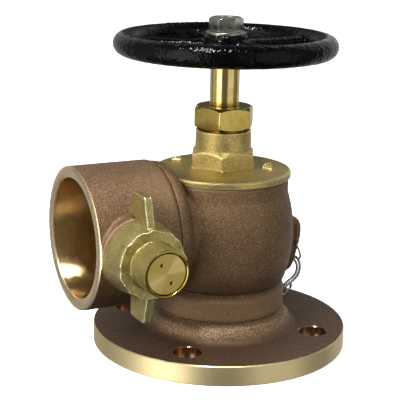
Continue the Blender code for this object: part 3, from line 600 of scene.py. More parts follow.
def cast_brass(name, dull, bright, dirt, edge):
    """Olive brass with a fine cast skin, bright where it is rubbed and dark in its pits."""
    n = Nodes(name)
    patches = n.noise(11, 3, 0.55)
    grain = n.noise(0.8, 4, 0.7)
    colour = n.mix(n.remap(patches, 0.3, 0.7), dull, bright)
    colour = n.mix(n.remap(grain, 0.38, 0.54, 0.65, 0.0), colour, dirt)
    colour = n.mix(n.remap(grain, 0.58, 0.72, 0.0, 0.6), colour, edge)
    wear = n.remap(n.attribute("wear"), 0.14, 0.60, 0.0, 0.9)
    colour = n.mix(wear, colour, edge)
    hollows = n.remap(n.attribute("wear"), -0.10, -0.5, 0.0, 0.7)
    colour = n.mix(hollows, colour, dirt)
    normal = n.bump(grain, 0.22, 1.0)
    rough = n.remap(n.attribute("wear"), 0.12, 0.6, 0.40, 0.22)
    return n.finish(colour, rough, normal, 0.92)


def turned_brass(name="turned_brass", rough=0.19, colour=(0.57, 0.42, 0.11), dark=(0.40, 0.285, 0.062)):
    """Polished brass: a clean face with a faint tool pattern round it."""
    n = Nodes(name)
    lines = n.noise(1.0, 3, 0.6, (0.18, 0.18, 7.0))
    smear = n.noise(9, 3, 0.6)
    tint = n.mix(n.remap(smear, 0.35, 0.7), colour, dark)
    normal = n.bump(lines, 0.02, 0.35)
    roughness = n.remap(smear, 0.3, 0.7, rough - 0.03, rough + 0.08)
    return n.finish(tint, roughness, normal, 1.0)


def brushed_cap():
    """The knob's end cap: turned in circles round its own axis, with two bright fans of painted highlight.
    """
    n = Nodes("brushed_cap")
    x = n.math("SUBTRACT", n.axis("X"), LUG_X + SPINDLE_X)
    z = n.math("SUBTRACT", n.axis("Z"), OUTLET_Z)
    radius = n.math("SQRT", n.math("ADD", n.math("MULTIPLY", x, x), n.math("MULTIPLY", z, z)), 0.0)
    rings = n.add("ShaderNodeTexNoise", noise_dimensions="1D")
    rings.inputs["Scale"].default_value = 1 / 0.22
    rings.inputs["Detail"].default_value = 3
    n.link(radius, rings.inputs["W"])
    rings = rings.outputs["Fac"]
    angle = n.math("ARCTAN2", z, x)
    # painted highlight: two bright fans in the colour, where a turned face would reflect the light
    fan_highlights = n.math("COSINE", n.math("ADD", n.math("MULTIPLY", angle, 2.0), -1.1), 0.0)
    streaks = n.math("SINE", n.math("MULTIPLY", angle, 9.0), 0.0)
    fan_highlights = n.math("ADD", fan_highlights, n.math("MULTIPLY", streaks, 0.22))
    colour = n.mix(n.remap(rings, 0.3, 0.7), (0.36, 0.265, 0.068), (0.47, 0.355, 0.108))
    colour = n.mix(n.remap(fan_highlights, 0.1, 1.1, 0.0, 0.50), colour, (0.76, 0.62, 0.27))
    normal = n.bump(rings, 0.03, 0.6)
    return n.finish(colour, 0.32, normal, 1.0)


def black_paint():
    """Gloss black paint over a cast skin: a wrinkled face that breaks up each highlight."""
    n = Nodes("black_paint")
    peel = n.noise(1.9, 1, 0.5)
    lumps = n.noise(7.0, 1, 0.5)
    specks = n.noise(0.8, 2, 0.6)
    colour = n.mix(n.remap(specks, 0.62, 0.80), (0.0010, 0.0010, 0.0014), (0.004, 0.004, 0.005))
    height = n.math("ADD", peel, lumps)
    normal = n.bump(height, 0.55, 1.0)
    rough = n.remap(specks, 0.35, 0.75, 0.06, 0.16)
    n.shader.inputs["Specular IOR Level"].default_value = 0.13
    return n.finish(colour, rough, normal, 0.0)


def steel(name="steel", colour=(0.60, 0.60, 0.53), rough=0.24):
    """Dull plated steel with small stains."""
    n = Nodes(name)
    stains = n.noise(4.0, 3, 0.6)
    grain = n.noise(0.5, 3, 0.6)
    dark = tuple(0.55 * c for c in colour)
    tint = n.mix(n.remap(stains, 0.4, 0.7), colour, dark)
    normal = n.bump(grain, 0.05, 0.7)
    roughness = n.remap(stains, 0.3, 0.7, rough - 0.06, rough + 0.14)
    return n.finish(tint, roughness, normal, 1.0)


def rubber():
    n = Nodes("rubber")
    bloom = n.noise(3.0, 3, 0.6)
    colour = n.mix(n.remap(bloom, 0.4, 0.75), (0.018, 0.018, 0.018), (0.05, 0.05, 0.048))
    return n.finish(colour, n.remap(bloom, 0.3, 0.7, 0.6, 0.8), n.bump(bloom, 0.05, 0.5), 0.0)


def fibre():
    n = Nodes("fibre")
    weave = n.noise(1.0, 3, 0.7, (1.0, 1.0, 4.0))
    colour = n.mix(n.remap(weave, 0.35, 0.7), (0.20, 0.13, 0.08), (0.36, 0.26, 0.16))
    return n.finish(colour, n.remap(weave, 0.3, 0.7, 0.75, 0.92), n.bump(weave, 0.12, 0.7), 0.0)


# A stretch above 1 makes the noise short along that axis, one below 1 makes it long.
GUNMETAL = cast_gunmetal()
RIM = machined("machined_flange", (0.88, 0.74, 0.42), (0.74, 0.59, 0.31), (0.12, 0.12, 5.0), 0.40)
# painted shade: the bolt holes get a darker copy of the machined colour, for the shadow inside them
HOLE_SHADED = machined("machined_hole_shaded", (0.50, 0.31, 0.19), (0.30, 0.17, 0.10), (0.1, 0.1, 5.0), 0.18)
BORE = machined("machined_bore", (0.74, 0.55, 0.30), (0.62, 0.44, 0.22), (5.0, 0.06, 0.06), 0.15, 0.20)
MOUTH = machined("machined_mouth", (0.95, 0.76, 0.46), (0.84, 0.64, 0.37), (5.0, 0.5, 0.5), 0.26)
CAST_BRASS = cast_brass(
    "cast_brass", (0.46, 0.34, 0.100), (0.66, 0.51, 0.190), (0.17, 0.11, 0.030), (0.98, 0.86, 0.46)
)
KNOB_BRASS = cast_brass(
    "knob_brass", (0.38, 0.31, 0.100), (0.60, 0.50, 0.200), (0.15, 0.115, 0.035), (0.98, 0.90, 0.56)
)
BRASS = turned_brass()
SPINDLE_BRASS = turned_brass("spindle_brass", 0.15, (0.80, 0.63, 0.25), (0.62, 0.46, 0.16))
CAP = brushed_cap()
PAINT = black_paint()
STEEL = steel()
CHAIN_STEEL = steel("chain_steel", (0.50, 0.48, 0.43), 0.22)
RUBBER = rubber()
FIBRE = fibre()


# ---------------------------------------------------------------- valve body


def barrel_outline():
    """The cast outside of flange, hub, collar and barrel, from the top down."""
    dip = BARREL_ARC_R - BARREL_R
    beyond = 2
    top = BARREL_MID_Z + sqrt(BARREL_ARC_R**2 - (BODY_TOP_R + dip) ** 2)
    foot = 43.6
    start = degrees(atan2(top - BARREL_MID_Z, BODY_TOP_R + dip))
    end = degrees(atan2(foot - BARREL_MID_Z, sqrt(BARREL_ARC_R**2 - (foot - BARREL_MID_Z) ** 2)))
    outline = [(0, BODY_TOP_Z + beyond), (BODY_TOP_R, BODY_TOP_Z + beyond)]
    outline += arc((-dip, BARREL_MID_Z), BARREL_ARC_R, start, end, 24)
    outline += [
        (COLLAR_R - 1.9, 42.7), (COLLAR_R - 1.0, 40.6), (COLLAR_R + 0.1, 37.9), (COLLAR_R + 0.1, 25.4),
        (COLLAR_R - 2.4, 24.1), (COLLAR_R - 1.2, 22.9), (COLLAR_R + 1.8, 21.8), (COLLAR_R + 4.0, 19.0),
        (COLLAR_R + 5.2, 16.0), (COLLAR_R + 6.6, 13.9), (COLLAR_R + 8.8, FLANGE_THICK),
        (FLANGE_R + beyond, FLANGE_THICK), (FLANGE_R + beyond, -beyond), (0, -beyond),
    ]
    return outline


def neck_form_outline():
    """The outlet's neck, from inside the barrel outwards (height is x)."""
    shoulder = 8
    outline = [(0, -20), (34, -20), (34, -38)]
    outline += arc((NECK_R - shoulder, -46), shoulder, 80, 0, 10)
    outline += [(NECK_R, REAR_X + GAP - 3), (0, REAR_X + GAP - 3)]
    return outline


def ear_outline():
    """The chain ear's side view in (x, z), with its foot inside the barrel."""
    return [
        (40.0, 80.5), (46.5, 80.2), (52.6, 78.8), (57.0, 76.2), (59.1, 73.0), (59.8, 69.0),
        (59.6, 64.5), (58.6, 59.3), (56.6, 52.0), (54.4, 45.0), (52.4, 42.0), (48.6, 39.8),
        (38.0, 38.6),
    ]


def slot_outline():
    x, z = SLOT_CENTRE
    radius = SLOT_WIDTH / 2
    rise = SLOT_HEIGHT / 2 - radius
    return arc((x, z + rise), radius, 0, 180, 10) + arc((x, z - rise), radius, 180, 360, 10)


def upright(outline, thick):
    """A plate in the XZ plane, centred on y = 0."""
    return moved(prism_mesh(outline, -thick / 2, thick / 2), Matrix.Rotation(pi / 2, 4, "X"))


def body_tools():
    """The cutters that machine the body: rim, cavity, waterway and bolt holes."""
    far = 12
    edge = 0.6
    rim = [
        (FLANGE_R - 2.2, FLANGE_THICK + far), (FLANGE_R + far, FLANGE_THICK + far),
        (FLANGE_R + far, -far), (0, -far), (0, 0), (FLANGE_R - edge, 0), (FLANGE_R, edge),
        (FLANGE_R, FLANGE_THICK - edge), (FLANGE_R - edge, FLANGE_THICK + 0.02),
        (FLANGE_R - 2.2, FLANGE_THICK + 0.6),
    ]
    cavity = [
        (0, BODY_TOP_Z + far), (BONNET_R + 1.2, BODY_TOP_Z + far), (BONNET_R + 1.2, BODY_TOP_Z + 0.1),
        (BODY_TOP_R + 0.3, BODY_TOP_Z + 0.1), (BODY_TOP_R - 0.6, BODY_TOP_Z),
        (BONNET_BORE_R, BODY_TOP_Z), (BONNET_BORE_R, 99), (CAVITY_R, 95), (CAVITY_R, 52),
        (SEAT_RING_R + 2.0, 47), (SEAT_RING_R, 47), (SEAT_RING_R, SEAT_Z), (SEAT_THROAT_R, SEAT_Z),
        (SEAT_THROAT_R, 43), (BORE_R, 38), (BORE_R, -far), (0, -far),
    ]
    water = [(0, -12), (SPIGOT_BORE_R, -12), (SPIGOT_BORE_R, -80), (0, -80)]
    tools = [
        turned_object("rim_tool", rim, ROUND),
        turned_object("cavity_tool", cavity, FINE),
        turned_object("water_tool", water, FINE, ALONG_OUTLET),
    ]
    flare = 0.5
    hole = [
        (0, FLANGE_THICK + far), (BOLT_HOLE_R + 2 * flare, FLANGE_THICK + far),
        (BOLT_HOLE_R + 2 * flare, FLANGE_THICK + flare), (BOLT_HOLE_R, FLANGE_THICK - flare),
        (BOLT_HOLE_R, flare), (BOLT_HOLE_R + 2 * flare, -flare), (BOLT_HOLE_R + 2 * flare, -far),
        (0, -far),
    ]
    for k in range(BOLT_COUNT):
        angle = pi / 4 + k * 2 * pi / BOLT_COUNT
        place = Matrix.Translation((BOLT_CIRCLE_R * cos(angle), BOLT_CIRCLE_R * sin(angle), 0))
        tools.append(turned_object(f"hole_tool_{k}", hole, 64, place))
    return tools


def make_body():
    forms = [
        turned_mesh(barrel_outline(), ROUND),
        moved(turned_mesh(neck_form_outline(), ROUND), ALONG_OUTLET),
        upright(ear_outline(), EAR_THICK + 0.4),
    ]
    body = joined("valve_body_casting", forms)
    soften(body, 0.85, 3)
    roughen(body, 0.10, 3.4, 1)
    spigot = [
        (0, REAR_X + 6), (SPIGOT_R, REAR_X + 6), (SPIGOT_R, SPIGOT_END_X + 1),
        (SPIGOT_R - 1, SPIGOT_END_X), (0, SPIGOT_END_X),
    ]
    face = [(0, REAR_X + SEAM), (60, REAR_X + SEAM), (60, REAR_X - 9), (0, REAR_X - 9)]
    facing = turned_object("facing_tool", face, 32, ALONG_OUTLET)
    cut(body, [facing])
    added = turned_object("spigot_form", spigot, FINE, ALONG_OUTLET)
    cut(body, [added], "UNION")
    tools = body_tools()
    slot = object_of("slot_tool", upright(slot_outline(), 4 * EAR_THICK))
    cut(body, tools + [slot])
    machined_faces(body, tools + [facing, added])
    machined_faces(body, tools[-BOLT_COUNT:], 2)
    remove(tools + [slot, facing, added])
    edge_wear(body)
    return finished(body, "valve_body", "root", [GUNMETAL, RIM, HOLE_SHADED])


# ---------------------------------------------------------------- hose outlet


def outlet_cavity():
    """The inside of the outlet as a cutter: rear thread, step, seal groove, bore and mouth."""
    beyond = 6
    return [
        (0, REAR_X + beyond), (SPIGOT_R + GAP, REAR_X + beyond), (SPIGOT_R + GAP, STEP_X),
        (STEP_R, STEP_X), (STEP_R, SEAL_BACK_X), (SEAL_GROOVE_R, SEAL_BACK_X),
        (SEAL_GROOVE_R, SEAL_FRONT_X), (OUTLET_BORE_R, SEAL_FRONT_X), (OUTLET_BORE_R, MOUTH_X + 1.0),
        (OUTLET_BORE_R + 0.3, MOUTH_X + 0.35), (OUTLET_BORE_R + 0.9, MOUTH_X),
        (OUTLET_R - 0.8, MOUTH_X), (OUTLET_R - 0.2, MOUTH_X + 0.3), (OUTLET_R + 0.3, MOUTH_X + 0.9),
        (OUTLET_R + beyond, MOUTH_X + 0.9), (OUTLET_R + beyond, MOUTH_X - beyond),
        (0, MOUTH_X - beyond),
    ]


def make_outlet():
    ease = 3
    beyond = 2
    outline = [(0, REAR_X)]
    outline += arc((OUTLET_R - ease, REAR_X - ease), ease, 90, 0, 8)
    outline += [(OUTLET_R, MOUTH_X - beyond), (0, MOUTH_X - beyond)]
    boss = [(0, BOSS_FACE_S), (BOSS_R, BOSS_FACE_S), (BOSS_R, 30), (0, 30)]
    forms = [
        moved(turned_mesh(outline, ROUND), ALONG_OUTLET),
        moved(turned_mesh(boss, FINE), ALONG_LUG),
    ]
    outlet = joined("hose_outlet_casting", forms)
    soften(outlet, 0.8, 3)
    roughen(outlet, 0.10, 3.0, 2)
    socket = [
        (0, BOSS_FACE_S + 5), (SOCKET_R, BOSS_FACE_S + 5), (SOCKET_R, SOCKET_FLOOR_S),
        (NOSE_R + GAP, SOCKET_FLOOR_S), (NOSE_R + GAP, 28), (0, 28),
    ]
    tools = [
        turned_object("outlet_tool", outlet_cavity(), ROUND, ALONG_OUTLET),
        turned_object("socket_tool", socket, 64, ALONG_LUG),
    ]
    cut(outlet, tools)
    machined_faces(outlet, tools)
    for face in outlet.data.polygons:
        if face.material_index and face.center.x < (SPINDLE_X + MOUTH_X + 0.95) * MM:
            face.material_index = 2
    remove(tools)
    edge_wear(outlet)
    return finished(outlet, "hose_outlet", "root", [GUNMETAL, BORE, MOUTH])


# ---------------------------------------------------------------- bonnet, gland, spindle


def bar(length, wide, low, high, place, turn):
    """A small raised bar, for the cast marks on the bonnet."""
    stand = Matrix.Translation((*place, 0)) @ Matrix.Rotation(turn, 4, "Z")
    return moved(prism_mesh(rectangle(length, wide), low, high), stand)


MARK_PITCH = 4.2
MARK_GROUPS = (  # centre, azimuth in degrees, number of dashes
    ((25.2, -13.1), -27, 5), ((-18.8, 27.0), 125, 2),
)


def cast_marks():
    """Plain raised dashes in two groups on the bonnet's disc."""
    low = BONNET_TOP_Z - 0.5
    top = BONNET_TOP_Z + 2.7
    marks = []
    for centre, azimuth, count in MARK_GROUPS:
        azimuth = radians(azimuth)
        along = Vector((-sin(azimuth), cos(azimuth)))
        for k in range(count):
            place = Vector(centre) + along * (k - (count - 1) / 2) * MARK_PITCH
            turn = azimuth + radians(18 if k % 2 else -32)
            marks.append(bar(6.0, 1.4, low, top, place, turn))
    return marks


def make_bonnet():
    crown = 1.4
    hex_under = BONNET_TOP_Z + crown
    corner = BONNET_HEX_AF / sqrt(3)
    disc = [
        (0, BONNET_NECK_TOP_Z + 1), (BONNET_NECK_R - 0.3, BONNET_NECK_TOP_Z + 1),
        (BONNET_NECK_R + 0.1, BONNET_HEX_TOP_Z), (BONNET_NECK_R + 0.1, hex_under), (corner, hex_under),
        (BONNET_R - 0.9, BONNET_TOP_Z + 0.1), (BONNET_R + 0.05, BONNET_TOP_Z - 0.8),
        (BONNET_R + 0.05, BONNET_UNDER_Z - 1), (0, BONNET_UNDER_Z - 1),
    ]
    hexed = prism_mesh(hexagon(BONNET_HEX_AF, radians(1)), hex_under - 1, BONNET_HEX_TOP_Z)
    hexed = object_of("hex_form", hexed)
    cone = [
        (0, BONNET_HEX_TOP_Z + 1), (BONNET_NECK_R - 1, BONNET_HEX_TOP_Z + 1),
        (corner + 1.5, BONNET_HEX_TOP_Z - 4.0), (corner + 1.5, hex_under - 2), (0, hex_under - 2),
    ]
    cone = turned_object("hex_cone", cone, FINE)
    cut(hexed, [cone], "INTERSECT")
    remove([cone])
    shape = bmesh.new()
    shape.from_mesh(hexed.data)
    shape.transform(TO_FRAME.inverted())
    remove([hexed])
    bonnet = joined("bonnet_casting", [turned_mesh(disc, ROUND), shape] + cast_marks())
    soften(bonnet, 0.62, 2)
    roughen(bonnet, 0.055, 2.6, 3)
    far = 8
    under = [
        (BONNET_BORE_R - GAP, BONNET_UNDER_Z + 0.4), (BONNET_R - 0.5, BONNET_UNDER_Z),
        (BONNET_R, BONNET_UNDER_Z + 0.5), (BONNET_R + far, BONNET_UNDER_Z + 0.5),
        (BONNET_R + far, BONNET_UNDER_Z - far), (0, BONNET_UNDER_Z - far), (0, BONNET_UNDER_Z + 0.4),
    ]
    top = [
        (0, BONNET_NECK_TOP_Z + far), (BONNET_R, BONNET_NECK_TOP_Z + far),
        (BONNET_R, BONNET_NECK_TOP_Z - 0.7), (BONNET_NECK_R, BONNET_NECK_TOP_Z - 0.7),
        (BONNET_NECK_R - 1.0, BONNET_NECK_TOP_Z), (0, BONNET_NECK_TOP_Z),
    ]
    spigot = [
        (0, BONNET_UNDER_Z + 2), (BONNET_BORE_R - GAP, BONNET_UNDER_Z + 2),
        (BONNET_BORE_R - GAP, BONNET_SPIGOT_Z + 1), (BONNET_BORE_R - 1.3, BONNET_SPIGOT_Z),
        (0, BONNET_SPIGOT_Z),
    ]
    core = [
        (0, BONNET_NECK_TOP_Z + far), (STUFFING_R, BONNET_NECK_TOP_Z + far), (STUFFING_R, STUFFING_Z),
        (THREAD_R + GAP, STUFFING_Z), (THREAD_R + GAP, BONNET_SPIGOT_Z - far),
        (0, BONNET_SPIGOT_Z - far),
    ]
    tools = [turned_object("under_tool", under, ROUND), turned_object("top_tool", top, FINE)]
    cut(bonnet, tools)
    added = turned_object("bonnet_spigot", spigot, FINE)
    cut(bonnet, [added], "UNION")
    core = turned_object("core_tool", core, FINE)
    cut(bonnet, [core])
    machined_faces(bonnet, tools + [added, core])
    remove(tools + [added, core])
    edge_wear(bonnet)
    return finished(bonnet, "bonnet", "root", [CAST_BRASS, BRASS])


def nut(name, across_flats, turn, inner, low, high, both=False, edge=0.25):
    """A hexagon nut with a round chamfer on top, or on both ends, and soft edges."""
    body = object_of(name, prism_mesh(hexagon(across_flats, turn), low, high))
    corner = across_flats / sqrt(3)
    slope = tan(radians(30))
    flat_r = across_flats / 2 * 0.965
    reach = corner + 2
    drop = (reach - flat_r) * slope
    cone = [(0, high), (flat_r, high), (reach, high - drop)]
    cone += [(reach, low + drop), (flat_r, low)] if both else [(reach, low - 1)]
    cone += [(0, low)] if both else [(0, low - 1)]
    cone = turned_object(name + "_cone", cone, FINE)
    cut(body, [cone], "INTERSECT")
    hole = [(0, high + 5), (inner, high + 5), (inner, low - 5), (0, low - 5)]
    hole = turned_object(name + "_hole", hole, FINE)
    cut(body, [hole])
    remove([cone, hole])
    return bevelled(body, edge, 3, 20)


def make_gland():
    inner = SPINDLE_R + GAP
    outer = STUFFING_R - GAP
    gland = nut("gland_nut_turned", GLAND_AF, radians(-4.5), inner, GLAND_UNDER_Z, GLAND_TOP_Z, True)
    ends = (GLAND_UNDER_Z + 1, GLAND_SPIGOT_Z)
    spigot = [(inner, ends[0]), (outer, ends[0]), (outer, ends[1]), (inner, ends[1])]
    spigot = turned_object("gland_spigot", spigot, FINE)
    cut(gland, [spigot], "UNION", "EXACT")
    remove([spigot])
    return finished(gland, "gland_nut", "root", [BRASS])


def make_spindle():
    hub_under = HUB_UNDER_Z - GAP
    neck_low = BUTTON_Z + 5.6
    stem = [
        (0, SPINDLE_TOP_Z), (WHEEL_STUD_R - 0.8, SPINDLE_TOP_Z), (WHEEL_STUD_R, SPINDLE_TOP_Z - 0.8),
        (WHEEL_STUD_R, hub_under), (SPINDLE_R - 0.6, hub_under), (SPINDLE_R, hub_under - 0.6),
        (SPINDLE_R, STUFFING_Z + 0.6),
    ]
    pitch = THREAD_PITCH
    turns = int((STUFFING_Z - THREAD_LOW_Z) / pitch)
    for k in range(turns):
        top = STUFFING_Z - k * pitch
        stem += [(THREAD_R, top), (THREAD_R, top - 0.45 * pitch)]
        stem += [(THREAD_R - 1.6, top - 0.6 * pitch), (THREAD_R - 1.6, top - 0.85 * pitch)]
    stem += [
        (5.5, 80.5), (5.5, neck_low), (BUTTON_R, neck_low), (BUTTON_R, BUTTON_Z + 0.8),
        (BUTTON_R - 0.8, BUTTON_Z), (0, BUTTON_Z),
    ]
    spindle = turned_object("spindle_turned", stem, FINE)
    form = prism_mesh(rectangle(SQUARE_SIDE, SQUARE_SIDE), HUB_UNDER_Z - 1, SQUARE_TOP_Z)
    square = object_of("square_form", form)
    cut(spindle, [square], "UNION", "EXACT")
    remove([square])
    return finished(spindle, "spindle", "spindle_group", [SPINDLE_BRASS])


# ---------------------------------------------------------------- handwheel


def spoke_mesh(angle):
    """One spoke: an oval bar from inside the hub to inside the rim, a little waisted."""
    steps = 12
    sides = 24
    rings = []
    for i in range(steps + 1):
        t = i / steps
        reach = SPOKE_ROOT + SPOKE_LENGTH * t
        swell = (2 * t - 0.95) ** 2
        wide = SPOKE_WIDE + 2.7 * swell
        tall = SPOKE_TALL + 1.0 * swell
        turns = [2 * pi * k / sides for k in range(sides)]
        rings.append([(reach, wide * cos(turn), SPOKE_Z + tall * sin(turn)) for turn in turns])
    return moved(loft(rings), Matrix.Rotation(angle, 4, "Z"))


def rim_marks():
    """A row of small raised dots on the rim's top, as cast direction marks have."""
    dots = []
    for k in range(9):
        angle = radians(74 + 3.1 * k)
        reach = RIM_R - (0.6 if k % 2 else -0.8)
        profile = [(0, 1.0), (0.7, 0.85), (1.15, 0.3), (1.2, -3), (0, -3)]
        place = (reach * cos(angle), reach * sin(angle), WHEEL_Z + RIM_SECTION_R - 0.5)
        dots.append(moved(turned_mesh(profile, 16), Matrix.Translation(place)))
    return dots


def make_handwheel():
    rim = arc((RIM_R, WHEEL_Z), RIM_SECTION_R, 0, 360, 32)[:-1]
    hub = [
        (0, HUB_TOP_Z + 0.2), (HUB_R - 0.6, HUB_TOP_Z + 0.2), (HUB_R + 0.3, HUB_TOP_Z - 1),
        (HUB_R + 0.6, WHEEL_Z), (HUB_R - 0.4, HUB_UNDER_Z + 1), (HUB_R - 1.4, HUB_UNDER_Z - 0.2),
        (0, HUB_UNDER_Z - 0.2),
    ]
    forms = [turned_mesh(rim, ROUND), turned_mesh(hub, 64)]
    forms += [spoke_mesh(FIRST_SPOKE + k * 2 * pi / SPOKE_COUNT) for k in range(SPOKE_COUNT)]
    forms += rim_marks()
    wheel = joined("handwheel_casting", forms)
    soften(wheel, 0.75, 4)
    roughen(wheel, 0.11, 5.0, 4)
    side = SQUARE_SIDE + 2 * GAP
    tool = prism_mesh(rectangle(side, side), HUB_UNDER_Z - 5, HUB_TOP_Z + 5)
    square = object_of("square_tool", tool)
    above = HUB_TOP_Z + 5
    top = [(0, above), (HUB_R + 4, above), (HUB_R + 4, HUB_TOP_Z), (0, HUB_TOP_Z)]
    top = turned_object("hub_facing", top, 48)
    cut(wheel, [square, top])
    remove([square, top])
    edge_wear(wheel)
    return finished(wheel, "handwheel", "spindle_group", [PAINT])


def make_wheel_fasteners():
    inner = WHEEL_STUD_R + GAP
    outer = WASHER_R
    outline = [(inner, WASHER_TOP_Z), (outer, WASHER_TOP_Z), (outer, WASHER_LOW_Z), (inner, WASHER_LOW_Z)]
    washer = turned_object("wheel_washer_pressed", eased(outline, 0.4), FINE)
    finished(washer, "wheel_washer", "spindle_group", [STEEL])
    wheel_nut = nut("wheel_nut_forged", WHEEL_NUT_AF, radians(36.5), inner, NUT_LOW_Z, NUT_TOP_Z)
    finished(wheel_nut, "wheel_nut", "spindle_group", [STEEL])


# ---------------------------------------------------------------- pull lug


def bell_outline():
    """The knob's outside: a bell with a raised back edge, then the grip barrel."""
    return [
        (0, KNOB_END_S + 1), (KNOB_R - 0.3, KNOB_END_S + 1), (KNOB_R + 0.05, BELL_FRONT_S),
        (BELL_FRONT_R - 0.9, BELL_FRONT_S - 0.1), (BELL_FRONT_R, BELL_FRONT_S + 0.2),
        (BELL_FRONT_R + 0.2, BELL_FRONT_S - 0.8), (BELL_BACK_R - 1.0, BELL_BACK_S + 9),
        (BELL_BACK_R, BELL_BACK_S + 1.2), (BELL_BACK_R - 0.8, BELL_BACK_S), (0, BELL_BACK_S),
    ]


def wavy(bm):
    """Gives the bell's front edge the uneven, hand-filed line of the real casting."""
    for vert in bm.verts:
        reach = hypot(vert.co.x, vert.co.y)
        if reach < KNOB_R + 2:
            continue
        angle = atan2(vert.co.y, vert.co.x)
        near = max(0.0, 1 - abs(vert.co.z - BELL_FRONT_S) / (5))
        wave = 0.38 * sin(13 * angle + 0.6) + 0.26 * sin(7 * angle + 1.9) + 0.2 * sin(21 * angle)
        vert.co.x *= 1 + near * wave / reach
        vert.co.y *= 1 + near * wave / reach
        vert.co.z += 0.4 * near * sin(11 * angle + 0.4)
    return bm


def wing_outline():
    """One wing in (radius, s), with its foot inside the bell's wall."""
    back = WING_BACK_S
    outline = [
        (BELL_BACK_R - 3.4, BELL_BACK_S + 1.0), (BELL_BACK_R + 0.6, BELL_BACK_S - 1.4),
    ]
    outline += [(BELL_BACK_R + 2.4, back)]
    outline += arc((WING_REACH - 3, back + 3), 3, -90, 0, 6)
    outline += arc((WING_REACH - 2.6, 58.6), 2.6, 0, 60, 5)
    outline += [(BELL_FRONT_R + 0.4, 65.4), (BELL_BACK_R - 5.4, 65.8)]
    return outline


def make_knob():
    forms = [moved(wavy(turned_mesh(bell_outline(), FINE)), ALONG_LUG)]
    for way in (1, -1):
        stand = Matrix(((0, 0, 1, 0), (way, 0, 0, 0), (0, 1, 0, 0), (0, 0, 0, 1)))
        forms.append(moved(prism_mesh(wing_outline(), -WING_THICK / 2, WING_THICK / 2), ALONG_LUG @ stand))
    knob = joined("pull_knob_casting", forms)
    soften(knob, 0.5, 3)
    roughen(knob, 0.09, 2.2, 5)
    far = 4
    recess = [
        (0, KNOB_END_S + far), (KNOB_R + far, KNOB_END_S + far), (KNOB_R + far, KNOB_END_S - 1.0),
        (KNOB_R - 0.1, KNOB_END_S - 1.0), (KNOB_R - 0.5, KNOB_END_S - 0.2), (KNOB_R - 1.0, KNOB_END_S),
        (KNOB_RECESS_R + 0.3, KNOB_END_S - 0.25), (KNOB_RECESS_R, KNOB_END_S - 0.8),
        (KNOB_RECESS_R, KNOB_END_S - 5.2), (KNOB_RECESS_R - 1.5, KNOB_END_S - 5.2),
        (KNOB_RECESS_R - 1.5, 76.0), (STEM_R + GAP, 76.0), (STEM_R + GAP, HOUSING_END_S),
        (0, HOUSING_END_S),
    ]
    hollow = [
        (0, HOUSING_END_S + 1.0), (14.2, HOUSING_END_S + 1.0), (14.2, BELL_BACK_S + 8),
        (16.5, BELL_BACK_S), (16.5, BELL_BACK_S - far), (0, BELL_BACK_S - far),
    ]
    tools = [
        turned_object("recess_tool", recess, FINE, ALONG_LUG),
        turned_object("hollow_tool", hollow, 64, ALONG_LUG),
    ]
    cut(knob, tools)
    machined_faces(knob, tools)
    remove(tools)
    edge_wear(knob)
    return finished(knob, "pull_knob", "pull_lug", [KNOB_BRASS, BRASS])


def make_cap():
    low = KNOB_END_S - 4.9
    top = KNOB_END_S - 0.9
    reach = KNOB_RECESS_R - 0.45
    outline = [(0, top), (reach, top), (reach, low), (0, low)]
    cap = turned_object("knob_cap_turned", eased(outline, 0.5), FINE, ALONG_LUG)
    pins = []
    for k in range(2):
        angle = radians(61) + k * pi
        pin_reach = 6.2
        place = (pin_reach * cos(angle), -pin_reach * sin(angle), 0)
        shift = ALONG_LUG @ Matrix.Translation(place)
        pin = [(0, top + 2), (1.5, top + 2), (1.5, top + 0.3), (0.85, top - 0.3)]
        pin += [(0.85, top - 2), (0, top - 2.4)]
        pins.append(turned_object(f"pin_tool_{k}", pin, 24, shift))
    cut(cap, pins, "DIFFERENCE", "EXACT")
    remove(pins)
    return finished(cap, "knob_cap", "pull_lug", [CAP])


def make_plunger():
    nose_end = 30
    bore = 10.2 - GAP
    outline = [
        (0, 81.6), (STEM_R, 81.6), (STEM_R, COLLAR_TOP_S), (bore, COLLAR_TOP_S),
        (bore, SOCKET_FLOOR_S + GAP), (NOSE_R, SOCKET_FLOOR_S + GAP), (NOSE_R, nose_end + 2.4),
        (NOSE_R - 2.2, nose_end), (0, nose_end),
    ]
    plunger = turned_object("plunger_turned", eased(outline, 0.5), FINE, ALONG_LUG)
    return finished(plunger, "plunger", "pull_lug", [BRASS])


def make_housing():
    outer = SOCKET_R - GAP
    outline = [
        (10.2, SOCKET_FLOOR_S + GAP), (outer, SOCKET_FLOOR_S + GAP), (outer, HOUSING_END_S),
        (STEM_R + GAP, HOUSING_END_S), (STEM_R + GAP, SPRING_STOP_S), (10.2, SPRING_STOP_S),
    ]
    housing = turned_object("spring_housing_turned", eased(outline, 0.6), FINE, ALONG_LUG)
    return finished(housing, "spring_housing", "root", [BRASS])


def make_spring():
    """The lug's coil spring, which the plunger's collar pushes up as the knob is pulled."""
    low = COLLAR_TOP_S + GAP + SPRING_WIRE_R
    high = SPRING_STOP_S - GAP - SPRING_WIRE_R
    around = 40
    sides = 12
    count = SPRING_TURNS * around
    rings = []
    for i in range(count + 1):
        turn = 2 * pi * i / around
        ring = []
        for k in range(sides):
            angle = 2 * pi * k / sides
            reach = SPRING_COIL_R + SPRING_WIRE_R * cos(angle)
            height = low + (high - low) * i / count + SPRING_WIRE_R * sin(angle)
            ring.append((reach * cos(turn), reach * sin(turn), height))
        rings.append(ring)
    spring = object_of("lug_spring_coil", loft(rings), ALONG_LUG)
    finished(spring, "lug_spring", "root", [STEEL])
    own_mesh(spring)


# ---------------------------------------------------------------- chain


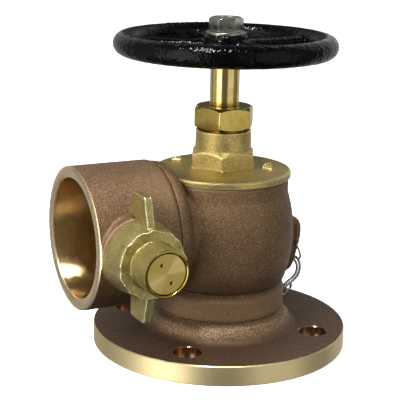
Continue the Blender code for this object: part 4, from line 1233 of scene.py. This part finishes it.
def smooth(points, steps):
    """A Catmull-Rom curve through the points."""
    points = [Vector(p) for p in points]
    ends = [2 * points[0] - points[1]] + points + [2 * points[-1] - points[-2]]
    found = []
    for a, b, c, d in zip(ends, ends[1:], ends[2:], ends[3:]):
        for i in range(steps):
            t = i / steps
            found.append(
                0.5 * (2 * b + (c - a) * t + (2 * a - 5 * b + 4 * c - d) * t * t
                       + (3 * b - a - 3 * c + d) * t * t * t)
            )
    found.append(points[-1])
    return found


def oval(centre, along, across, length, width, count=48):
    """A closed chain-link path with round ends."""
    along = Vector(along).normalized()
    across = Vector(across)
    across = (across - along * across.dot(along)).normalized()
    straight = (length - width) / 2
    points = []
    for i in range(count):
        angle = 2 * pi * (i + 0.5) / count
        push = straight if cos(angle) > 0 else -straight
        points.append(
            Vector(centre) + along * (push + width / 2 * cos(angle)) + across * width / 2 * sin(angle)
        )
    return points


def round_end(end, back, side):
    ahead = (end - back).normalized() * side.length
    return [end + side * cos(pi * k / 8) + ahead * sin(pi * k / 8) for k in range(1, 8)]


def long_link_path(route, half_width):
    """A closed link in the XZ plane whose two strands follow a bent centre line."""
    centre = smooth(route, 8)
    left = []
    right = []
    for i, point in enumerate(centre):
        run = (centre[min(i + 1, len(centre) - 1)] - centre[max(i - 1, 0)]).normalized()
        side = Vector((run.z, 0, -run.x)) * half_width
        left.append(point + side)
        right.append(point - side)
    far = round_end(centre[-1], centre[-2], left[-1] - centre[-1])
    near = round_end(centre[0], centre[1], right[0] - centre[0])
    return left + far + right[::-1] + near


def wire(node, points, closed=True, radius=WIRE_R):
    """A round wire in place of a chain node."""
    curve = bpy.data.curves.new(node + "_wire", "CURVE")
    curve.dimensions = "3D"
    curve.bevel_depth = radius * MM
    curve.bevel_resolution = 4
    curve.use_fill_caps = not closed
    spline = curve.splines.new("POLY")
    spline.points.add(len(points) - 1)
    for target, point in zip(spline.points, points):
        target.co = (*(TO_FRAME @ Vector(point)), 1)
    spline.use_cyclic_u = closed
    spline.use_smooth = True
    curve.materials.append(CHAIN_STEEL)
    obj = linked(node + "_wire", curve)
    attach(obj, "chain")
    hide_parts(node)
    return obj


def spot(*values):
    return Vector(values)


def make_chain():
    """A ring in the ear's slot, a bent long link, small links, an end ring and a cap hook."""
    tilt = radians(72)
    hang = Vector((cos(tilt), 0, -sin(tilt)))
    ring_r = 6.4
    ring = oval(spot(55.0, 0, 59.4) + hang * ring_r, hang, (0, 1, 0), 2 * ring_r, 2 * ring_r)
    wire("chain_ear_ring", ring, radius=EAR_WIRE_R)
    route = [
        spot(57.6, 0, 47.5),
        spot(59.6, 0, 44.4),
        spot(60.4, 0, 40.4),
        spot(59.4, 0, 36.2),
        spot(56.4, 0, 33.0),
        spot(53.0, 0, 30.8),
        spot(50.6, 0, 29.2),
    ]
    wire("chain_long_link", long_link_path(route, 1.15))
    stations = [spot(49.5, 0, 28.5), spot(50.2, 9.6, 23.0), spot(51.6, 18.6, 18.6), spot(56.6, 25.4, 15.6)]
    across = [(0.9, 0, 0.4), (0.2, 0.45, 0.86), (0.8, -0.5, 0.1)]
    overlap = 2.9
    for k in range(3):
        start, end = stations[k], stations[k + 1]
        length = (end - start).length + overlap
        wire(f"chain_link_{k + 1}", oval((start + end) / 2, end - start, across[k], length, 5.0, 40))
    wire("chain_end_ring", oval(spot(61.5, 24.9, 16.6), (1, -0.1, 0), (0, 0.7, 0.7), 9.5, 8.0, 48))
    eye = spot(66.2, 24.4, 16.6)
    loop = [eye + Vector((x, 0, z)) for x, z in arc((0, 0), 1.75, 130, 330, 21)]
    shank = smooth([loop[-1], spot(69.3, 24.3, 16.8), spot(70.0, 24.2, 18.6), spot(69.7, 24.2, 21.0)], 8)
    wire("cap_hook", loop[:-1] + shank, closed=False)


# ---------------------------------------------------------------- nodes that keep their CAD shape


CAD_FINISH = {
    BRASS: [
        "gland_follower", "clack_holder", "washer_plate", "clack_nut", "spindle_retaining_ring",
        "stem_nut",
    ],
    RUBBER: ["seat_washer", "outlet_seal"],
    FIBRE: ["bonnet_gasket", "outlet_gasket", "gland_packing_1", "gland_packing_2", "gland_packing_3"],
}


def finish_cad_nodes():
    for material, nodes in CAD_FINISH.items():
        for node in nodes:
            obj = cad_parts[node]
            for slot in obj.material_slots:
                slot.material = material


# ---------------------------------------------------------------- stage, light, camera

CAMERA_AT = Vector((-343.31, -643.69, 283.34))  # in the valve's own axes
CAMERA_AHEAD = Vector((0.4390, 0.8625, -0.2519)).normalized()
CAMERA_ROLL = radians(1.25)
LENS = 105.1  # on a 36 mm sensor

FLOOR_GLOW = 0.92
SKY_ABOVE = 0.40
SKY_FOOT = -0.25  # the heights, as sines, where the sky's light starts and stops growing
SKY_CROWN = 0.45
SKY_BELOW = 0.10
SKY_IN_REFLECTIONS = 0.10

# Bearings are in degrees to the right of the camera, seen from the valve.
LAMP_AIM = Vector((0, 0, 90))
LAMPS = {  # bearing, height, distance, size, power
    "key": (-45, 600, 1000, 600, 26.0),
    "top": (-150, 1300, 300, 800, 5.0),
    "fill": (55, 600, 1200, 700, 3.0),
}
CARD_DISTANCE = 600
CARD_LOW = -320
CARD_HIGH = 900
CARDS = {  # start, end, level
    "key_card": (-64, -25, 2.8),
    "left_card": (-108, -66, 0.50),
    "dark_card": (-14, 17, 0.14),
    "right_card": (24, 74, 0.85),
    "side_card": (76, 104, 0.22),
    "back_card": (112, 168, 0.60),
    "far_card": (-168, -120, 0.45),
}
OVERHEAD_HALF = 85
OVERHEAD_BEARING = -30
OVERHEAD_REACH = 300
OVERHEAD_Z = 1000
OVERHEAD_LEVEL = 120.0


def make_camera():
    camera = linked("camera", bpy.data.cameras.new("camera"))
    camera.data.lens = LENS
    camera.data.sensor_width = 36
    camera.data.clip_start = 0.01
    camera.data.clip_end = 20
    right = CAMERA_AHEAD.cross(Vector((0, 0, 1))).normalized()
    up = right.cross(CAMERA_AHEAD)
    turned_right = cos(CAMERA_ROLL) * right + sin(CAMERA_ROLL) * up
    turned_up = -sin(CAMERA_ROLL) * right + cos(CAMERA_ROLL) * up
    turn = Matrix((turned_right, turned_up, -CAMERA_AHEAD)).transposed()
    camera.matrix_world = Matrix.Translation(TO_FRAME @ CAMERA_AT) @ turn.to_4x4()
    bpy.context.scene.camera = camera


def bearing(angle):
    """A level direction from the object, in degrees to the right of the camera's side."""
    towards = atan2(-CAMERA_AHEAD.y, -CAMERA_AHEAD.x) + radians(angle)
    return Vector((cos(towards), sin(towards), 0))


def area_light(name, angle, height, distance, size, power):
    """A square lamp aimed at the valve, which reflections don't show."""
    light = bpy.data.lights.new(name, "AREA")
    light.size = size * MM
    light.energy = power
    obj = linked(name, light)
    obj.location = (bearing(angle) * distance + Vector((0, 0, height))) * MM
    aim = LAMP_AIM * MM - obj.location
    obj.rotation_mode = "QUATERNION"
    obj.rotation_quaternion = aim.to_track_quat("-Z", "Y")
    obj.visible_glossy = False


def glowing(name, colour, level):
    """A matt material that gives off white light."""
    material = bpy.data.materials.new(name)
    material.use_nodes = True
    shader = material.node_tree.nodes["Principled BSDF"]
    shader.inputs["Base Color"].default_value = (*colour, 1)
    shader.inputs["Roughness"].default_value = 0.9
    shader.inputs["Specular IOR Level"].default_value = 0
    shader.inputs["Emission Color"].default_value = (1, 1, 1, 1)
    shader.inputs["Emission Strength"].default_value = level
    return material


def reflected(name, bm, level):
    """A glowing mesh that only reflections see."""
    bm.transform(Matrix.Scale(MM, 4))
    obj = linked(name, mesh_of(name, bm))
    obj.data.materials.append(glowing(name, (0, 0, 0), level))
    obj.visible_camera = False
    obj.visible_diffuse = False
    obj.visible_shadow = False
    obj.visible_transmission = False


def card(name, start, end, level):
    """An upright curved card between two bearings in degrees."""
    bm = bmesh.new()
    steps = 12
    previous = None
    for i in range(steps + 1):
        at = bearing(start + (end - start) * i / steps) * CARD_DISTANCE
        pair = [bm.verts.new((at.x, at.y, CARD_LOW)), bm.verts.new((at.x, at.y, CARD_HIGH))]
        if previous:
            bm.faces.new((previous[0], pair[0], pair[1], previous[1]))
        previous = pair
    reflected(name, bm, level)


def overhead_card():
    """A small bright card above and in front, that sparkles in the wheel's wrinkled paint."""
    bm = bmesh.new()
    bmesh.ops.create_grid(bm, x_segments=1, y_segments=1, size=OVERHEAD_HALF)
    place = bearing(OVERHEAD_BEARING) * OVERHEAD_REACH + Vector((0, 0, OVERHEAD_Z))
    bm.transform(Matrix.Translation(place))
    reflected("overhead_card", bm, OVERHEAD_LEVEL)


def make_floor():
    bm = bmesh.new()
    bmesh.ops.create_grid(bm, x_segments=2, y_segments=2, size=6000 * MM)
    floor = linked("floor", mesh_of("floor", bm))
    floor.data.materials.append(glowing("floor", (0.80, 0.80, 0.80), FLOOR_GLOW))
    floor.location.z = -0.2 * MM
    floor.visible_diffuse = False
    floor.visible_glossy = False


def make_world():
    """White to the camera; a soft sky above and a dim one below to everything else."""
    world = bpy.data.worlds.new("studio")
    world.use_nodes = True
    tree = world.node_tree
    background = tree.nodes["Background"]
    path = tree.nodes.new("ShaderNodeLightPath")
    coords = tree.nodes.new("ShaderNodeTexCoord")
    height = tree.nodes.new("ShaderNodeSeparateXYZ")
    tree.links.new(coords.outputs["Generated"], height.inputs["Vector"])
    sky = tree.nodes.new("ShaderNodeMapRange")
    sky.inputs["From Min"].default_value = SKY_FOOT
    sky.inputs["From Max"].default_value = SKY_CROWN
    sky.inputs["To Min"].default_value = SKY_BELOW
    sky.inputs["To Max"].default_value = SKY_ABOVE
    tree.links.new(height.outputs["Z"], sky.inputs["Value"])
    shine = tree.nodes.new("ShaderNodeMix")
    tree.links.new(path.outputs["Is Glossy Ray"], shine.inputs["Factor"])
    tree.links.new(sky.outputs["Result"], shine.inputs["A"])
    shine.inputs["B"].default_value = SKY_IN_REFLECTIONS
    seen = tree.nodes.new("ShaderNodeMix")
    tree.links.new(path.outputs["Is Camera Ray"], seen.inputs["Factor"])
    tree.links.new(shine.outputs["Result"], seen.inputs["A"])
    seen.inputs["B"].default_value = 1.0
    tree.links.new(seen.outputs["Result"], background.inputs["Strength"])
    background.inputs["Color"].default_value = (1, 1, 1, 1)
    bpy.context.scene.world = world


def make_studio():
    make_floor()
    make_world()
    for name, values in LAMPS.items():
        area_light(name, *values)
    for name, values in CARDS.items():
        card(name, *values)
    overhead_card()
    settings = bpy.context.scene.view_settings
    settings.view_transform = "Standard"
    settings.look = "None"


def main():
    make_camera()
    make_studio()
    make_body()
    make_outlet()
    make_bonnet()
    make_gland()
    make_spindle()
    make_handwheel()
    make_wheel_fasteners()
    make_knob()
    make_cap()
    make_plunger()
    make_housing()
    make_spring()
    make_chain()
    finish_cad_nodes()


main()
